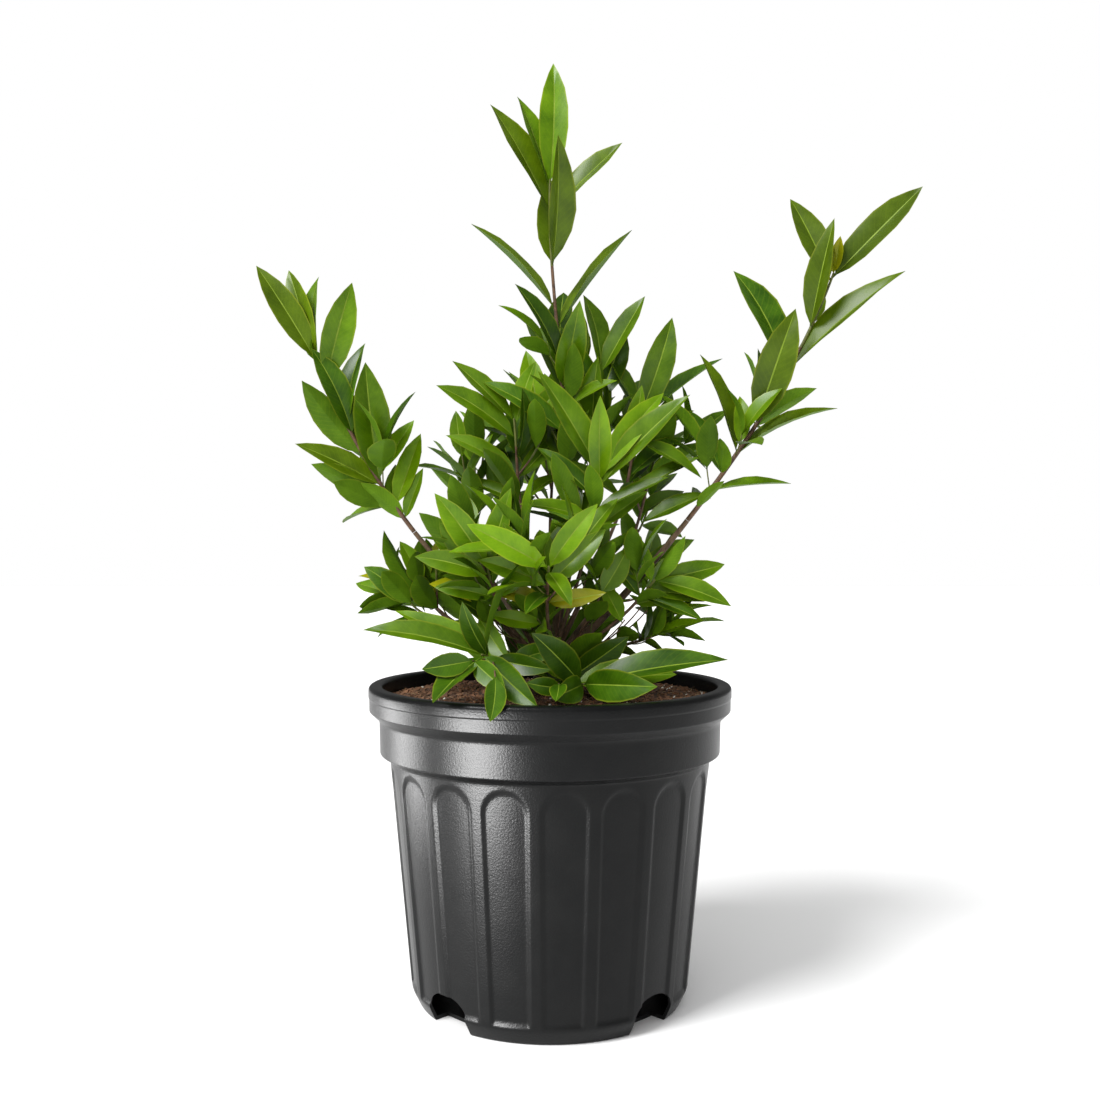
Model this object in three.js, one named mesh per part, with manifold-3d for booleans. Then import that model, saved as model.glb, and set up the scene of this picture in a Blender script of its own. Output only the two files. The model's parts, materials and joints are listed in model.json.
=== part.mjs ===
// A potted cherry of the rio grande: a young bush with three tall leaders, in a fluted nursery pot.
// Millimetres, +Z up. The origin is the centre of the pot's flat underside, and the front is -Y.
import * as THREE from 'three';
import { mergeVertices } from 'three/addons/utils/BufferGeometryUtils.js';
import Module from 'manifold-3d';

// Pot
const potHeight = 241.3;
const rimRadius = 139.7;
const lipHeight = 23.3;
const bandRadius = 131.4;
const bandHeight = 30;
const bodyTopRadius = 122.6;
const chamferRadius = 106.9;
const chamferHeight = 12;
const baseRadius = 100.8;
const potWall = 2.4;
const potFloor = 2.8;
const potFootWall = 1.4;
const potSegments = 36;
const fluteCount = 18;
const fluteFirst = 5;
const fluteDepth = 1.7;
const fluteWidth = 32;
const fluteTop = 181;
const fluteTaper = 0.88;
const notchCount = 4;
const notchFirst = -45;
const notchWidth = 39;
const notchHeight = 26;
const notchReach = 14;

// Soil, and the gap that is left between neighbouring solids
const soilTop = 229;
const soilMound = 3;
const gap = 0.3;

// Trunk: a short stump with a root flare, which leans to the right and ends in a rounded fork
const trunkFoot = [-5, -2];
const trunkFork = [3, 1];
const trunkTop = 268;
const trunkRadius = 10;
const flareRadius = 7.5;
const flareHeight = 9;
const flareLobes = 5;
const lobeDepth = 0.22;
const trunkSides = 12;

// Boughs: the height at which each leaves the trunk's middle line, its climb there in degrees,
// its tip, its climb at the tip, and its radius at the foot and at the tip
const boughs = {
  centre: { height: 260, climb: 84, tip: [12, 4, 392], endClimb: 88, foot: 4.8, end: 2.6 },
  left: { height: 250, climb: 48, tip: [-104, -10, 358], endClimb: 52, foot: 5.2, end: 2.6 },
  right: { height: 253, climb: 42, tip: [106, -4, 367], endClimb: 52, foot: 6, end: 2.9 },
  upper_left: { height: 258, climb: 74, tip: [-22, 14, 372], endClimb: 78, foot: 3.4, end: 2 },
  upper_middle: { height: 259, climb: 78, tip: [30, 16, 400], endClimb: 80, foot: 3, end: 1.8 },
  upper_right: { height: 258, climb: 64, tip: [52, 4, 368], endClimb: 68, foot: 3.6, end: 2 },
  front_upper: { height: 256, climb: 64, tip: [26, -38, 340], endClimb: 64, foot: 3.2, end: 1.9 },
  front_middle: { height: 252, climb: 44, tip: [-2, -50, 300], endClimb: 44, foot: 3, end: 1.8 },
  front_left: { height: 249, climb: 48, tip: [-34, -38, 294], endClimb: 48, foot: 3, end: 1.8 },
  front_right: { height: 250, climb: 38, tip: [60, -28, 300], endClimb: 44, foot: 3, end: 1.8 },
  back: { height: 256, climb: 60, tip: [0, 56, 346], endClimb: 60, foot: 3.6, end: 2 },
  back_left: { height: 252, climb: 52, tip: [-54, 34, 334], endClimb: 60, foot: 3.4, end: 2 },
  back_right: { height: 253, climb: 50, tip: [60, 38, 336], endClimb: 60, foot: 3.4, end: 2 },
  low_left: { height: 244, climb: 30, tip: [-66, 0, 284], endClimb: 24, foot: 3, end: 1.8 },
  low_right: { height: 246, climb: 24, tip: [66, 6, 272], endClimb: 14, foot: 3, end: 1.8 },
  low_back_left: { height: 247, climb: 34, tip: [-46, 56, 290], endClimb: 30, foot: 3, end: 1.8 },
  low_back_right: { height: 248, climb: 34, tip: [50, 58, 292], endClimb: 30, foot: 3, end: 1.8 },
};

// Masses of foliage. Each grows from the tip of the bough of its name, or from the trunk at a height.
// tip and endClimb shape its stem; spacing, length and ratio are its leaves' (ratio is width to length);
// shoots is the number of its side shoots, and reach how far from its stem its leaves may come.
// Where a mass lists its leaves, each has its place along the stem, heading, rise, length and roll.
const masses = {
  left: {
    tip: [-179, -20, 491], endClimb: 66, reach: 95, ratio: 0.31,
    leaves: [
      [0.98, 170, 57, 88, -30], [0.98, 140, 66, 80, 0], [0.95, 100, 70, 78, 0], [0.86, -15, 74, 78, 110],
      [0.62, 50, 75, 68, 30], [0.57, -165, 64, 72, 180], [0.46, -155, 50, 72, 60], [0.3, -140, 82, 92, 110],
      [0.28, 125, 80, 80, -40], [0.28, -175, 26, 73, -45], [0.16, 25, 70, 60, 60], [0.14, 100, 45, 52, 0],
      [0.08, -20, 68, 42, 60], [0.07, -160, 38, 46, 20],
    ],
  },
  right: {
    tip: [217, -12, 556], endClimb: 70, reach: 112, ratio: 0.31,
    leaves: [
      [0.98, -10, 45, 95, 45], [0.97, 145, 64, 76, -60], [0.79, -40, 76, 84, -120], [0.8, 80, 55, 60, 0],
      [0.63, -5, 40, 112, 48], [0.62, 150, 62, 94, -50], [0.41, -30, 70, 92, -120], [0.42, 80, 62, 70, 0],
      [0.28, -3, 25, 86, 20], [0.29, 170, 70, 82, -30], [0.2, -100, 35, 44, 0], [0.2, 150, 62, 58, -45],
      [0.13, -5, 5, 62, 20], [0.12, 172, -24, 56, -50], [0.05, -35, 35, 36, 30], [0.1, 95, 5, 50, 0],
    ],
  },
  centre: {
    tip: [0, 0, 631], endClimb: 92, reach: 100, ratio: 0.29,
    leaves: [
      [0.98, 75, 84, 99, 0], [0.97, 150, 69, 82, -20], [0.9, 170, 61, 97, -35], [0.89, -2, 44, 78, 50],
      [0.72, -82, 71, 97, 0], [0.72, 90, 66, 84, 0], [0.58, -175, 45, 92, -20], [0.52, 5, 53, 97, 12],
      [0.45, 85, 50, 70, 0], [0.4, -145, 54, 72, -75], [0.33, -75, 50, 76, 0], [0.31, 128, 52, 79, 0],
      [0.18, 176, 32, 76, -50], [0.17, 70, 46, 76, 0], [0.06, -80, 44, 70, 0], [0.05, 110, 44, 74, 0],
    ],
  },
  upper_left: {
    tip: [-28, 5, 446], endClimb: 80, spacing: 21, length: 78, ratio: 0.28,
    shoots: 3, shootLength: 46, reach: 82, seed: 21,
  },
  upper_middle: {
    tip: [40, 4, 484], endClimb: 84, reach: 88, ratio: 0.32,
    leaves: [
      [0.98, -5, 60, 68, 40], [0.97, 130, 72, 68, 0], [0.7, 50, 60, 70, 20], [0.68, -160, 62, 68, -30],
      [0.3, -85, 64, 74, 0], [0.36, 90, 58, 74, 0], [0.12, -40, 52, 68, 10], [0.1, 160, 48, 66, 0],
    ],
  },
  upper_right: {
    tip: [71, 12, 451], endClimb: 74, spacing: 22, length: 76, ratio: 0.31,
    shoots: 3, shootLength: 46, reach: 84, seed: 42,
  },
  front_upper: {
    tip: [38, -48, 400], endClimb: 76, spacing: 20, length: 84, ratio: 0.29,
    shoots: 2, shootLength: 44, reach: 96, seed: 23,
  },
  front_middle: {
    tip: [-1, -80, 333], endClimb: 58, spacing: 17, length: 62, ratio: 0.38,
    shoots: 4, shootLength: 40, reach: 78, seed: 24,
  },
  front_left: {
    tip: [-46, -60, 334], endClimb: 66, spacing: 17, length: 60, ratio: 0.38,
    shoots: 3, shootLength: 44, reach: 78, seed: 25,
  },
  front_right: {
    tip: [78, -38, 322], endClimb: 48, spacing: 17, length: 52, ratio: 0.34,
    shoots: 4, shootLength: 36, reach: 64, seed: 26,
  },
  back: {
    tip: [4, 84, 440], endClimb: 72, spacing: 22, length: 76, ratio: 0.31,
    shoots: 5, shootLength: 58, reach: 96, seed: 27,
  },
  back_left: {
    tip: [-62, 50, 414], endClimb: 72, spacing: 20, length: 56, ratio: 0.34,
    shoots: 5, shootLength: 46, reach: 78, seed: 28,
  },
  back_right: {
    tip: [90, 46, 434], endClimb: 70, spacing: 20, length: 68, ratio: 0.31,
    shoots: 4, shootLength: 50, reach: 86, seed: 29,
  },
  low_left: {
    tip: [-100, 0, 310], endClimb: 40, spacing: 16, length: 54, ratio: 0.38,
    shoots: 4, shootLength: 36, reach: 62, seed: 30,
  },
  low_right: {
    tip: [92, 10, 282], endClimb: 26, spacing: 16, length: 52, ratio: 0.35,
    shoots: 4, shootLength: 32, reach: 54, seed: 31,
  },
  low_back_left: {
    tip: [-74, 88, 322], endClimb: 44, spacing: 18, length: 58, ratio: 0.38,
    shoots: 3, shootLength: 40, reach: 76, seed: 36,
  },
  low_back_right: {
    tip: [78, 90, 326], endClimb: 44, spacing: 18, length: 58, ratio: 0.38,
    shoots: 3, shootLength: 40, reach: 76, seed: 37,
  },
  low_front_left: {
    height: 244, climb: 24, foot: 2.4,
    tip: [-48, -86, 271], endClimb: 16, reach: 110, ratio: 0.33,
    leaves: [
      [0.98, -118, -22, 70, 0], [0.98, -64, -28, 66, 0], [0.95, 25, 70, 70, -60], [0.9, -135, 58, 48, 0],
      [0.88, 178, 12, 94, 40], [0.8, 168, 24, 84, 40], [0.84, -20, -8, 46, 0], [0.6, -30, 16, 48, 0],
      [0.6, 130, 40, 50, 0], [0.4, 176, 20, 50, 0], [0.38, -40, 34, 44, 0],
    ],
  },
  low_front_right: {
    height: 241, climb: 12, foot: 2.4,
    tip: [24, -84, 250], endClimb: 8, reach: 120, ratio: 0.35,
    leaves: [
      [0.98, -42, 3, 66, 10], [0.98, -115, -4, 54, 0], [0.95, -5, 10, 105, -50], [0.94, -134, 38, 64, 0],
      [0.72, 0, 5, 76, -40], [0.7, 130, 30, 46, 0], [0.5, 10, 34, 60, 0], [0.4, 150, 40, 44, 0],
    ],
  },
  low_back: {
    height: 243, climb: 22, foot: 2.4,
    tip: [-4, 92, 262], endClimb: 12, spacing: 18, length: 58, ratio: 0.4,
    shoots: 2, shootLength: 34, reach: 74, seed: 34,
  },
};

// Growth rule of every mass. Leaves stand in opposite pairs, each pair a quarter turn on from the last,
// and their spread from the stem in degrees falls from its foot to its tip.
const pairTurn = 90;
const turnJitter = 14;
const bareFoot = 0.18;
const lastPair = 0.985;
const spreadLow = 66;
const spreadHigh = 26;
const spreadJitter = 9;
const lengthJitter = 0.16;
const lengthAtFoot = 0.86;
const rollJitter = 22;
const aimTries = [0, 24, -24, 48, -48];

// A leaf's shape: its bow, fold and thickness, and half its width at places along it
const leafBow = 0.045;
const leafFold = 0.3;
const leafSlimness = 70;
const leafOutline = [[0, 0], [0.3, 0.94], [0.64, 0.86], [1, 0]];
const leafRoot = 0.06;
const leafMiddle = 0.46;
const leafSamples = [0.3, 0.5, 0.7, 0.85, 1];
const leafSpan = 0.55;
const rootOffset = 0.2;

// Side shoots: each leaves its stem at an angle, turned on from the last, and lifts towards its tip
const shootRadius = 1.3;
const shootSpread = 46;
const shootLift = 0.55;
const shootLeafScale = 0.82;
const shootTurn = 137.5;
const shootTurnJitter = 30;
const shootTries = [0, 30, -30, 60, -60, 90];
const firstShoot = 0.12;
const shootRange = 0.68;
const shootReachJitter = 0.12;
const shootReachAtFoot = 1.15;
const shootReachLoss = 0.4;

// Limbs, and the space that leaves and shoots keep around them
const boughSides = 6;
const boughSteps = 5;
const stemSides = 3;
const stemSteps = 5;
const shootSteps = 3;
const stemTipRadius = 0.9;
const clearance = 1.2;
const mergeDistance = 0.1;

const wasm = await Module();
wasm.setup();
const potted = new THREE.Group();

// Solids and meshes
function solidOf(geometry) {
  geometry.deleteAttribute('normal');
  geometry.deleteAttribute('uv');
  const merged = mergeVertices(geometry, 1e-4);
  return new wasm.Manifold(new wasm.Mesh({
    numProp: 3,
    vertProperties: merged.attributes.position.array,
    triVerts: Uint32Array.from(merged.index.array),
  }));
}

function geometryOf(solid) {
  const mesh = solid.getMesh();
  const geometry = new THREE.BufferGeometry();
  geometry.setAttribute('position', new THREE.BufferAttribute(mesh.vertProperties, 3));
  geometry.setIndex(new THREE.BufferAttribute(mesh.triVerts, 1));
  return geometry;
}

function addMesh(name, solid, material) {
  const mesh = new THREE.Mesh(geometryOf(solid), material);
  mesh.name = name;
  potted.add(mesh);
}

function largestPiece(solid) {
  const pieces = solid.decompose();
  return pieces.reduce((best, piece) => (piece.volume() > best.volume() ? piece : best));
}

// A closed solid through rings of corners: place(along, side) gives each corner, with along from 0 to 1.
// A pointed one has a single corner at both ends.
function ringSolid(sides, steps, pointed, place) {
  const geometry = pointed
    ? new THREE.SphereGeometry(1, sides, steps)
    : new THREE.CylinderGeometry(1, 1, 1, sides, steps);
  const position = geometry.attributes.position;
  const sideNumbers = Array.from({ length: sides }, (_, side) => side);
  for (let index = 0; index < position.count; index += 1) {
    const height = position.getY(index);
    const share = pointed ? 1 - Math.acos(height) / Math.PI : height + 0.5;
    const along = Math.round(share * steps) / steps;
    const across = new THREE.Vector2(position.getX(index), position.getZ(index));
    const corner = new THREE.Vector3();
    if (across.length() > 1e-6) {
      const quarter = pointed ? sides / 4 : 0;
      const side = Math.round((Math.atan2(across.x, across.y) / (2 * Math.PI)) * sides + quarter);
      corner.copy(place(along, (side + sides) % sides));
    } else {
      sideNumbers.forEach((side) => corner.addScaledVector(place(along, side), 1 / sides));
    }
    position.setXYZ(index, corner.x, corner.y, corner.z);
  }
  return solidOf(geometry);
}

// Directions and curves
function radians(degrees) {
  return THREE.MathUtils.degToRad(degrees);
}

function headingOf(vector) {
  return THREE.MathUtils.radToDeg(Math.atan2(vector.y, vector.x));
}

function direction(heading, rise) {
  const level = Math.cos(radians(rise));
  return new THREE.Vector3(
    level * Math.cos(radians(heading)),
    level * Math.sin(radians(heading)),
    Math.sin(radians(rise)),
  );
}

function limbCurve(foot, footDirection, tip, tipDirection) {
  const handle = foot.distanceTo(tip) / 3;
  const leave = foot.clone().addScaledVector(footDirection, handle);
  const arrive = tip.clone().addScaledVector(tipDirection, -handle);
  return new THREE.CubicBezierCurve3(foot, leave, arrive, tip);
}

// The point, run and two cross directions of a curve at a place along it
function frameAt(curve, along) {
  const chord = curve.v3.clone().sub(curve.v0);
  const level = Math.abs(chord.x) < Math.abs(chord.y);
  const reference = level ? new THREE.Vector3(1, 0, 0) : new THREE.Vector3(0, 1, 0);
  const run = curve.getTangent(along);
  const side = reference.addScaledVector(run, -reference.dot(run)).normalize();
  return { point: curve.getPoint(along), run, side, front: run.clone().cross(side) };
}

function limbSolid(curve, radiusAt, sides, steps) {
  return ringSolid(sides, steps, false, (along, side) => {
    const frame = frameAt(curve, along);
    const radius = radiusAt(along);
    const angle = (side / sides) * 2 * Math.PI;
    return frame.point
      .addScaledVector(frame.side, Math.sin(angle) * radius)
      .addScaledVector(frame.front, -Math.cos(angle) * radius);
  });
}

function taper(foot, tip) {
  return (along) => foot + (tip - foot) * along;
}

// Materials
const potMaterial = new THREE.MeshStandardMaterial({ color: 0x1d1e20, roughness: 0.42, metalness: 0 });
const soilMaterial = new THREE.MeshStandardMaterial({ color: 0x3a2419, roughness: 0.95, metalness: 0 });
const barkMaterial = new THREE.MeshStandardMaterial({ color: 0x4b3426, roughness: 0.85, metalness: 0 });
const leafMaterial = new THREE.MeshStandardMaterial({ color: 0x3f7a1f, roughness: 0.4, metalness: 0 });

// Pot: a turned wall with a hollow lip, arched flutes around its body and notches in its foot
function bodyRadius(height) {
  const share = (height - chamferHeight) / (fluteTop - chamferHeight);
  return chamferRadius + (bodyTopRadius - chamferRadius) * share;
}

function turned(profile, segments) {
  const outline = profile.map(([radius, height]) => new THREE.Vector2(radius, height));
  const geometry = new THREE.LatheGeometry(outline, segments);
  geometry.rotateX(Math.PI / 2);
  return solidOf(geometry);
}

const lipFoot = potHeight - lipHeight;
const bandFoot = lipFoot - bandHeight;
const lipInside = bandRadius - potWall;
const potProfile = [
  [0, 0], [baseRadius, 0], [chamferRadius, chamferHeight], [bodyTopRadius, fluteTop],
  [bandRadius - 0.8, bandFoot], [bandRadius, lipFoot - 4], [bandRadius, potHeight - 3],
  [rimRadius - 2.6, potHeight - 3], [rimRadius - 2.4, lipFoot], [rimRadius - 0.3, lipFoot],
  [rimRadius, potHeight - 5], [rimRadius - 3, potHeight], [lipInside + 2.6, potHeight],
  [lipInside, potHeight - 2.6], [lipInside, bandFoot + 2], [bodyTopRadius - potWall, fluteTop + 1],
  [chamferRadius - potWall, chamferHeight + 1], [baseRadius - potFootWall, potFloor], [0, potFloor],
];

// One flute: an arched panel, narrower towards the foot, that leans with the wall and cuts into it
function fluteSolid(heading) {
  const half = fluteWidth / 2;
  const footHalf = half * fluteTaper;
  const archFoot = fluteTop - half - 2;
  const outline = new THREE.Shape();
  outline.moveTo(-footHalf, chamferHeight + 1);
  outline.lineTo(footHalf, chamferHeight + 1);
  outline.lineTo(half, archFoot);
  outline.absarc(0, archFoot, half, 0, Math.PI);
  outline.closePath();
  const panel = new THREE.ExtrudeGeometry(outline, { depth: 20, bevelEnabled: false, curveSegments: 4 });
  const lean = Math.atan2(bodyTopRadius - chamferRadius, fluteTop - chamferHeight);
  panel.rotateX(Math.PI / 2 + lean);
  panel.translate(0, -(bodyRadius(0) - fluteDepth), 0);
  panel.rotateZ(radians(heading));
  return solidOf(panel);
}

// One drain notch: a round-topped opening through the wall and the edge of the floor
function notchSolid(heading) {
  const half = notchWidth / 2;
  const outline = new THREE.Shape();
  outline.moveTo(-half, -5);
  outline.lineTo(half, -5);
  outline.lineTo(half, notchHeight - 14);
  outline.absellipse(0, notchHeight - 14, half, 14, 0, Math.PI);
  outline.closePath();
  const block = new THREE.ExtrudeGeometry(outline, { depth: 40, bevelEnabled: false, curveSegments: 4 });
  block.rotateX(Math.PI / 2);
  block.translate(0, -(baseRadius - notchReach), 0);
  block.rotateZ(radians(heading));
  return solidOf(block);
}

let pot = turned(potProfile, potSegments);
for (let flute = 0; flute < fluteCount; flute += 1) {
  pot = pot.subtract(fluteSolid(fluteFirst + (flute * 360) / fluteCount));
}
for (let notch = 0; notch < notchCount; notch += 1) {
  pot = pot.subtract(notchSolid(notchFirst + (notch * 360) / notchCount));
}
addMesh('pot', pot.simplify(mergeDistance / 2), potMaterial);

// Soil: it fills the pot to just under the rim, and rises a little towards the trunk
const soilProfile = [
  [0, potFloor + gap], [baseRadius - potFootWall - gap, potFloor + gap],
  [chamferRadius - potWall - gap, chamferHeight + 1], [bodyTopRadius - potWall - gap, fluteTop + 1],
  [lipInside - gap, bandFoot + 2], [lipInside - gap, soilTop - soilMound],
  [(lipInside + trunkRadius) / 2, soilTop - 1], [trunkRadius + flareRadius + 4, soilTop], [0, soilTop],
];
const soil = turned(soilProfile, potSegments);
addMesh('soil', soil, soilMaterial);

// Trunk
const trunkFootHeight = soilTop + gap;
const trunkCurve = limbCurve(
  new THREE.Vector3(...trunkFoot, trunkFootHeight),
  new THREE.Vector3(0, 0, 1),
  new THREE.Vector3(...trunkFork, trunkTop),
  new THREE.Vector3(0, 0, 1),
);

function trunkSolid(grow) {
  const height = trunkTop - trunkFootHeight;
  return ringSolid(trunkSides, 8, false, (along, side) => {
    const frame = frameAt(trunkCurve, along);
    const angle = (side / trunkSides) * 2 * Math.PI;
    const flare = Math.exp((-along * height) / flareHeight);
    const lobes = 1 + lobeDepth * flare * Math.sin(flareLobes * angle);
    const crown = Math.sqrt(1 - 0.9 * along ** 6);
    const radius = (trunkRadius + flareRadius * flare) * lobes * crown + grow;
    return frame.point
      .add(new THREE.Vector3(Math.sin(angle) * radius, -Math.cos(angle) * radius, grow * along));
  });
}

const trunk = trunkSolid(0);
addMesh('trunk', trunk, barkMaterial);

// Boughs: each starts inside the trunk's head and is cut clear of it and of the boughs before it
function trunkPoint(height) {
  const along = (height - trunkFootHeight) / (trunkTop - trunkFootHeight);
  return trunkCurve.getPoint(along);
}

function boughCurve(bough) {
  const foot = trunkPoint(bough.height);
  const tip = new THREE.Vector3(...bough.tip);
  const heading = headingOf(tip.clone().sub(foot));
  return limbCurve(foot, direction(heading, bough.climb), tip, direction(heading, bough.endClimb));
}

const limbs = [];
const solids = [trunk, pot, soil];
let cutter = trunkSolid(gap);
for (const [name, bough] of Object.entries(boughs)) {
  const curve = boughCurve(bough);
  const radiusAt = taper(bough.foot, bough.end);
  const radiusWithGap = taper(bough.foot + gap, bough.end + gap);
  const solid = largestPiece(limbSolid(curve, radiusAt, boughSides, boughSteps).subtract(cutter));
  cutter = cutter.add(limbSolid(curve, radiusWithGap, boughSides, boughSteps));
  limbs.push({ curve, radiusAt, steps: boughSteps });
  solids.push(solid);
  addMesh(`bough_${name}`, solid, barkMaterial);
}

// Random numbers from a seed, between 0 and 1 or within a span on both sides of nought
function seededRandom(seed) {
  let state = seed >>> 0;
  return () => {
    state = (state + 0x6d2b79f5) >>> 0;
    let mixed = Math.imul(state ^ (state >>> 15), state | 1);
    mixed ^= mixed + Math.imul(mixed ^ (mixed >>> 7), mixed | 61);
    return ((mixed ^ (mixed >>> 14)) >>> 0) / 4294967296;
  };
}

function jitter(random, span) {
  return (2 * random() - 1) * span;
}

// Distances that keep the crown clear of the pot and of its own limbs
function nearPot(point) {
  const radius = Math.hypot(point.x, point.y);
  if (radius < lipInside - 1) {
    return point.z < soilTop + 3;
  }
  return radius < rimRadius + 2 && point.z < potHeight + 2;
}

function segmentsOf(limb) {
  return Array.from({ length: limb.steps }, (_, index) => {
    const from = limb.curve.getPoint(index / limb.steps);
    const to = limb.curve.getPoint((index + 1) / limb.steps);
    return { line: new THREE.Line3(from, to), radius: limb.radiusAt((index + 0.5) / limb.steps) };
  });
}

function distanceTo(line, point) {
  return line.closestPointToPoint(point, true, new THREE.Vector3()).distanceTo(point);
}

// A place on a leaf: along from root to tip, and across from one edge (-1) to the other (1)
function leafPoint(leaf, along, across) {
  const width = halfWidth(leaf, along) * across;
  return leaf.root.clone()
    .addScaledVector(leaf.run, leaf.length * along)
    .addScaledVector(leaf.face, leafFold * Math.abs(width) + 4 * leafBow * leaf.length * along * (1 - along))
    .addScaledVector(leaf.side, width);
}

function halfWidth(leaf, along) {
  const next = Math.max(leafOutline.findIndex(([place]) => place >= along), 1);
  const [fromPlace, fromShare] = leafOutline[next - 1];
  const [toPlace, toShare] = leafOutline[next];
  const share = (along - fromPlace) / (toPlace - fromPlace);
  return (leaf.width / 2) * (fromShare + (toShare - fromShare) * share);
}

function leafTriangles(leaf) {
  const root = leafPoint(leaf, leafRoot, 0);
  const middle = leafPoint(leaf, leafMiddle, 0);
  const tip = leafPoint(leaf, 1, 0);
  return [-1, 1].flatMap((across) => {
    const edge = leafPoint(leaf, leafMiddle, across);
    return [new THREE.Triangle(root, edge, middle), new THREE.Triangle(edge, tip, middle)];
  });
}

function crosses(line, triangle) {
  const run = line.delta(new THREE.Vector3());
  const reach = run.length();
  const ray = new THREE.Ray(line.start, run.normalize());
  const hit = ray.intersectTriangle(triangle.a, triangle.b, triangle.c, false, new THREE.Vector3());
  return hit !== null && hit.distanceTo(line.start) <= reach;
}

function edgesOf(triangle) {
  return [
    new THREE.Line3(triangle.a, triangle.b),
    new THREE.Line3(triangle.b, triangle.c),
    new THREE.Line3(triangle.c, triangle.a),
  ];
}

function leavesCross(one, other) {
  if (one.centre.distanceTo(other.centre) > leafSpan * (one.length + other.length)) {
    return false;
  }
  return one.triangles.some((first) => other.triangles.some((second) => (
    edgesOf(first).some((line) => crosses(line, second))
    || edgesOf(second).some((line) => crosses(line, first))
  )));
}

function samplesOf(leaf, acrosses) {
  return leafSamples.flatMap((along) => acrosses.map((across) => leafPoint(leaf, along, across)));
}

function leafMeetsLimb(leaf, limb) {
  const own = limb === leaf.limb;
  const samples = samplesOf(leaf, [-1, 0, 1]);
  return limb.segments.some(({ line, radius }) => (
    samples.some((sample) => distanceTo(line, sample) < radius + clearance)
    || (!own && leaf.triangles.some((triangle) => crosses(line, triangle)))
  ));
}

// The stems of the masses, then their side shoots, then every leaf, so that each keeps clear of the others
for (const limb of limbs) {
  limb.segments = segmentsOf(limb);
}
const leaves = [];

function stemOf(name, mass) {
  const bough = boughs[name];
  const tip = new THREE.Vector3(...mass.tip);
  if (bough) {
    const boughRun = limbs[Object.keys(boughs).indexOf(name)].curve.getTangent(1);
    const foot = new THREE.Vector3(...bough.tip).addScaledVector(boughRun, gap);
    const heading = headingOf(tip.clone().sub(foot));
    return { foot: bough.end, curve: limbCurve(foot, boughRun, tip, direction(heading, mass.endClimb)) };
  }
  const foot = trunkPoint(mass.height);
  const heading = headingOf(tip.clone().sub(foot));
  const curve = limbCurve(foot, direction(heading, mass.climb), tip, direction(heading, mass.endClimb));
  return { foot: mass.foot, curve };
}

for (const [name, mass] of Object.entries(masses)) {
  const { foot, curve } = stemOf(name, mass);
  mass.name = name;
  mass.stem = { mass, curve, radiusAt: taper(foot, stemTipRadius), steps: stemSteps };
  mass.stem.segments = segmentsOf(mass.stem);
  mass.stems = [mass.stem];
  limbs.push(mass.stem);
}

function shootCurve(mass, along, turn, reach) {
  const frame = frameAt(mass.stem.curve, along);
  const out = frame.side.multiplyScalar(Math.cos(radians(turn)))
    .addScaledVector(frame.front, Math.sin(radians(turn)));
  const leave = frame.run.clone().multiplyScalar(Math.cos(radians(shootSpread)))
    .addScaledVector(out, Math.sin(radians(shootSpread)));
  const arrive = leave.clone().lerp(new THREE.Vector3(0, 0, 1), shootLift).normalize();
  const tip = frame.point.clone().addScaledVector(leave, reach / 2).addScaledVector(arrive, reach / 2);
  return limbCurve(frame.point, leave, tip, arrive);
}

function shootIsClear(shoot) {
  const ends = shoot.segments.map(({ line }) => line.end);
  const others = limbs.filter((limb) => limb !== shoot.mass.stem);
  return ends.every((end) => !nearPot(end))
    && others.every((limb) => limb.segments.every(({ line, radius }) => (
      ends.every((end) => distanceTo(line, end) > radius + shootRadius + 2 * clearance)
    )))
    && ends.slice(1).every((end) => shoot.mass.stem.segments.every(({ line }) => (
      distanceTo(line, end) > 2 * clearance
    )));
}

function growShoots(mass) {
  const random = seededRandom(mass.seed);
  for (let index = 0; index < (mass.shoots ?? 0); index += 1) {
    const along = firstShoot + (shootRange * (index + random())) / mass.shoots;
    const turn = shootTurn * index + jitter(random, shootTurnJitter);
    const reachHere = mass.shootLength * (shootReachAtFoot - shootReachLoss * along);
    const reach = reachHere * (1 + jitter(random, shootReachJitter));
    for (const change of shootTries) {
      const curve = shootCurve(mass, along, turn + change, reach);
      const shoot = { mass, curve, radiusAt: taper(shootRadius, stemTipRadius), steps: shootSteps };
      shoot.segments = segmentsOf(shoot);
      if (shootIsClear(shoot)) {
        mass.stems.push(shoot);
        limbs.push(shoot);
        break;
      }
    }
  }
}

function distanceToStem(mass, point) {
  return Math.min(...mass.stem.segments.map(({ line }) => distanceTo(line, point)));
}

function makeLeaf(stem, along, run, roll, length) {
  const frame = frameAt(stem.curve, along);
  const face = frame.run.clone().addScaledVector(run, -frame.run.dot(run)).normalize();
  face.applyAxisAngle(run, radians(roll));
  const side = face.clone().cross(run);
  const leaf = { limb: stem, root: frame.point, run, face, side, length, width: length * stem.mass.ratio };
  leaf.centre = leafPoint(leaf, 0.5, 0);
  leaf.triangles = leafTriangles(leaf);
  return leaf;
}

function leafIsClear(leaf) {
  return distanceToStem(leaf.limb.mass, leafPoint(leaf, 1, 0)) < leaf.limb.mass.reach
    && !samplesOf(leaf, [-1, 1]).some(nearPot)
    && !limbs.some((limb) => leafMeetsLimb(leaf, limb))
    && !leaves.some((other) => leavesCross(leaf, other));
}

// Leaves that a mass lists one by one
function growListedLeaves(mass) {
  for (const [along, heading, rise, length, roll] of mass.leaves) {
    for (const change of aimTries) {
      const leaf = makeLeaf(mass.stem, along, direction(heading + change / 3, rise), roll, length);
      if (leafIsClear(leaf)) {
        leaves.push(leaf);
        break;
      }
    }
  }
}

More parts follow.
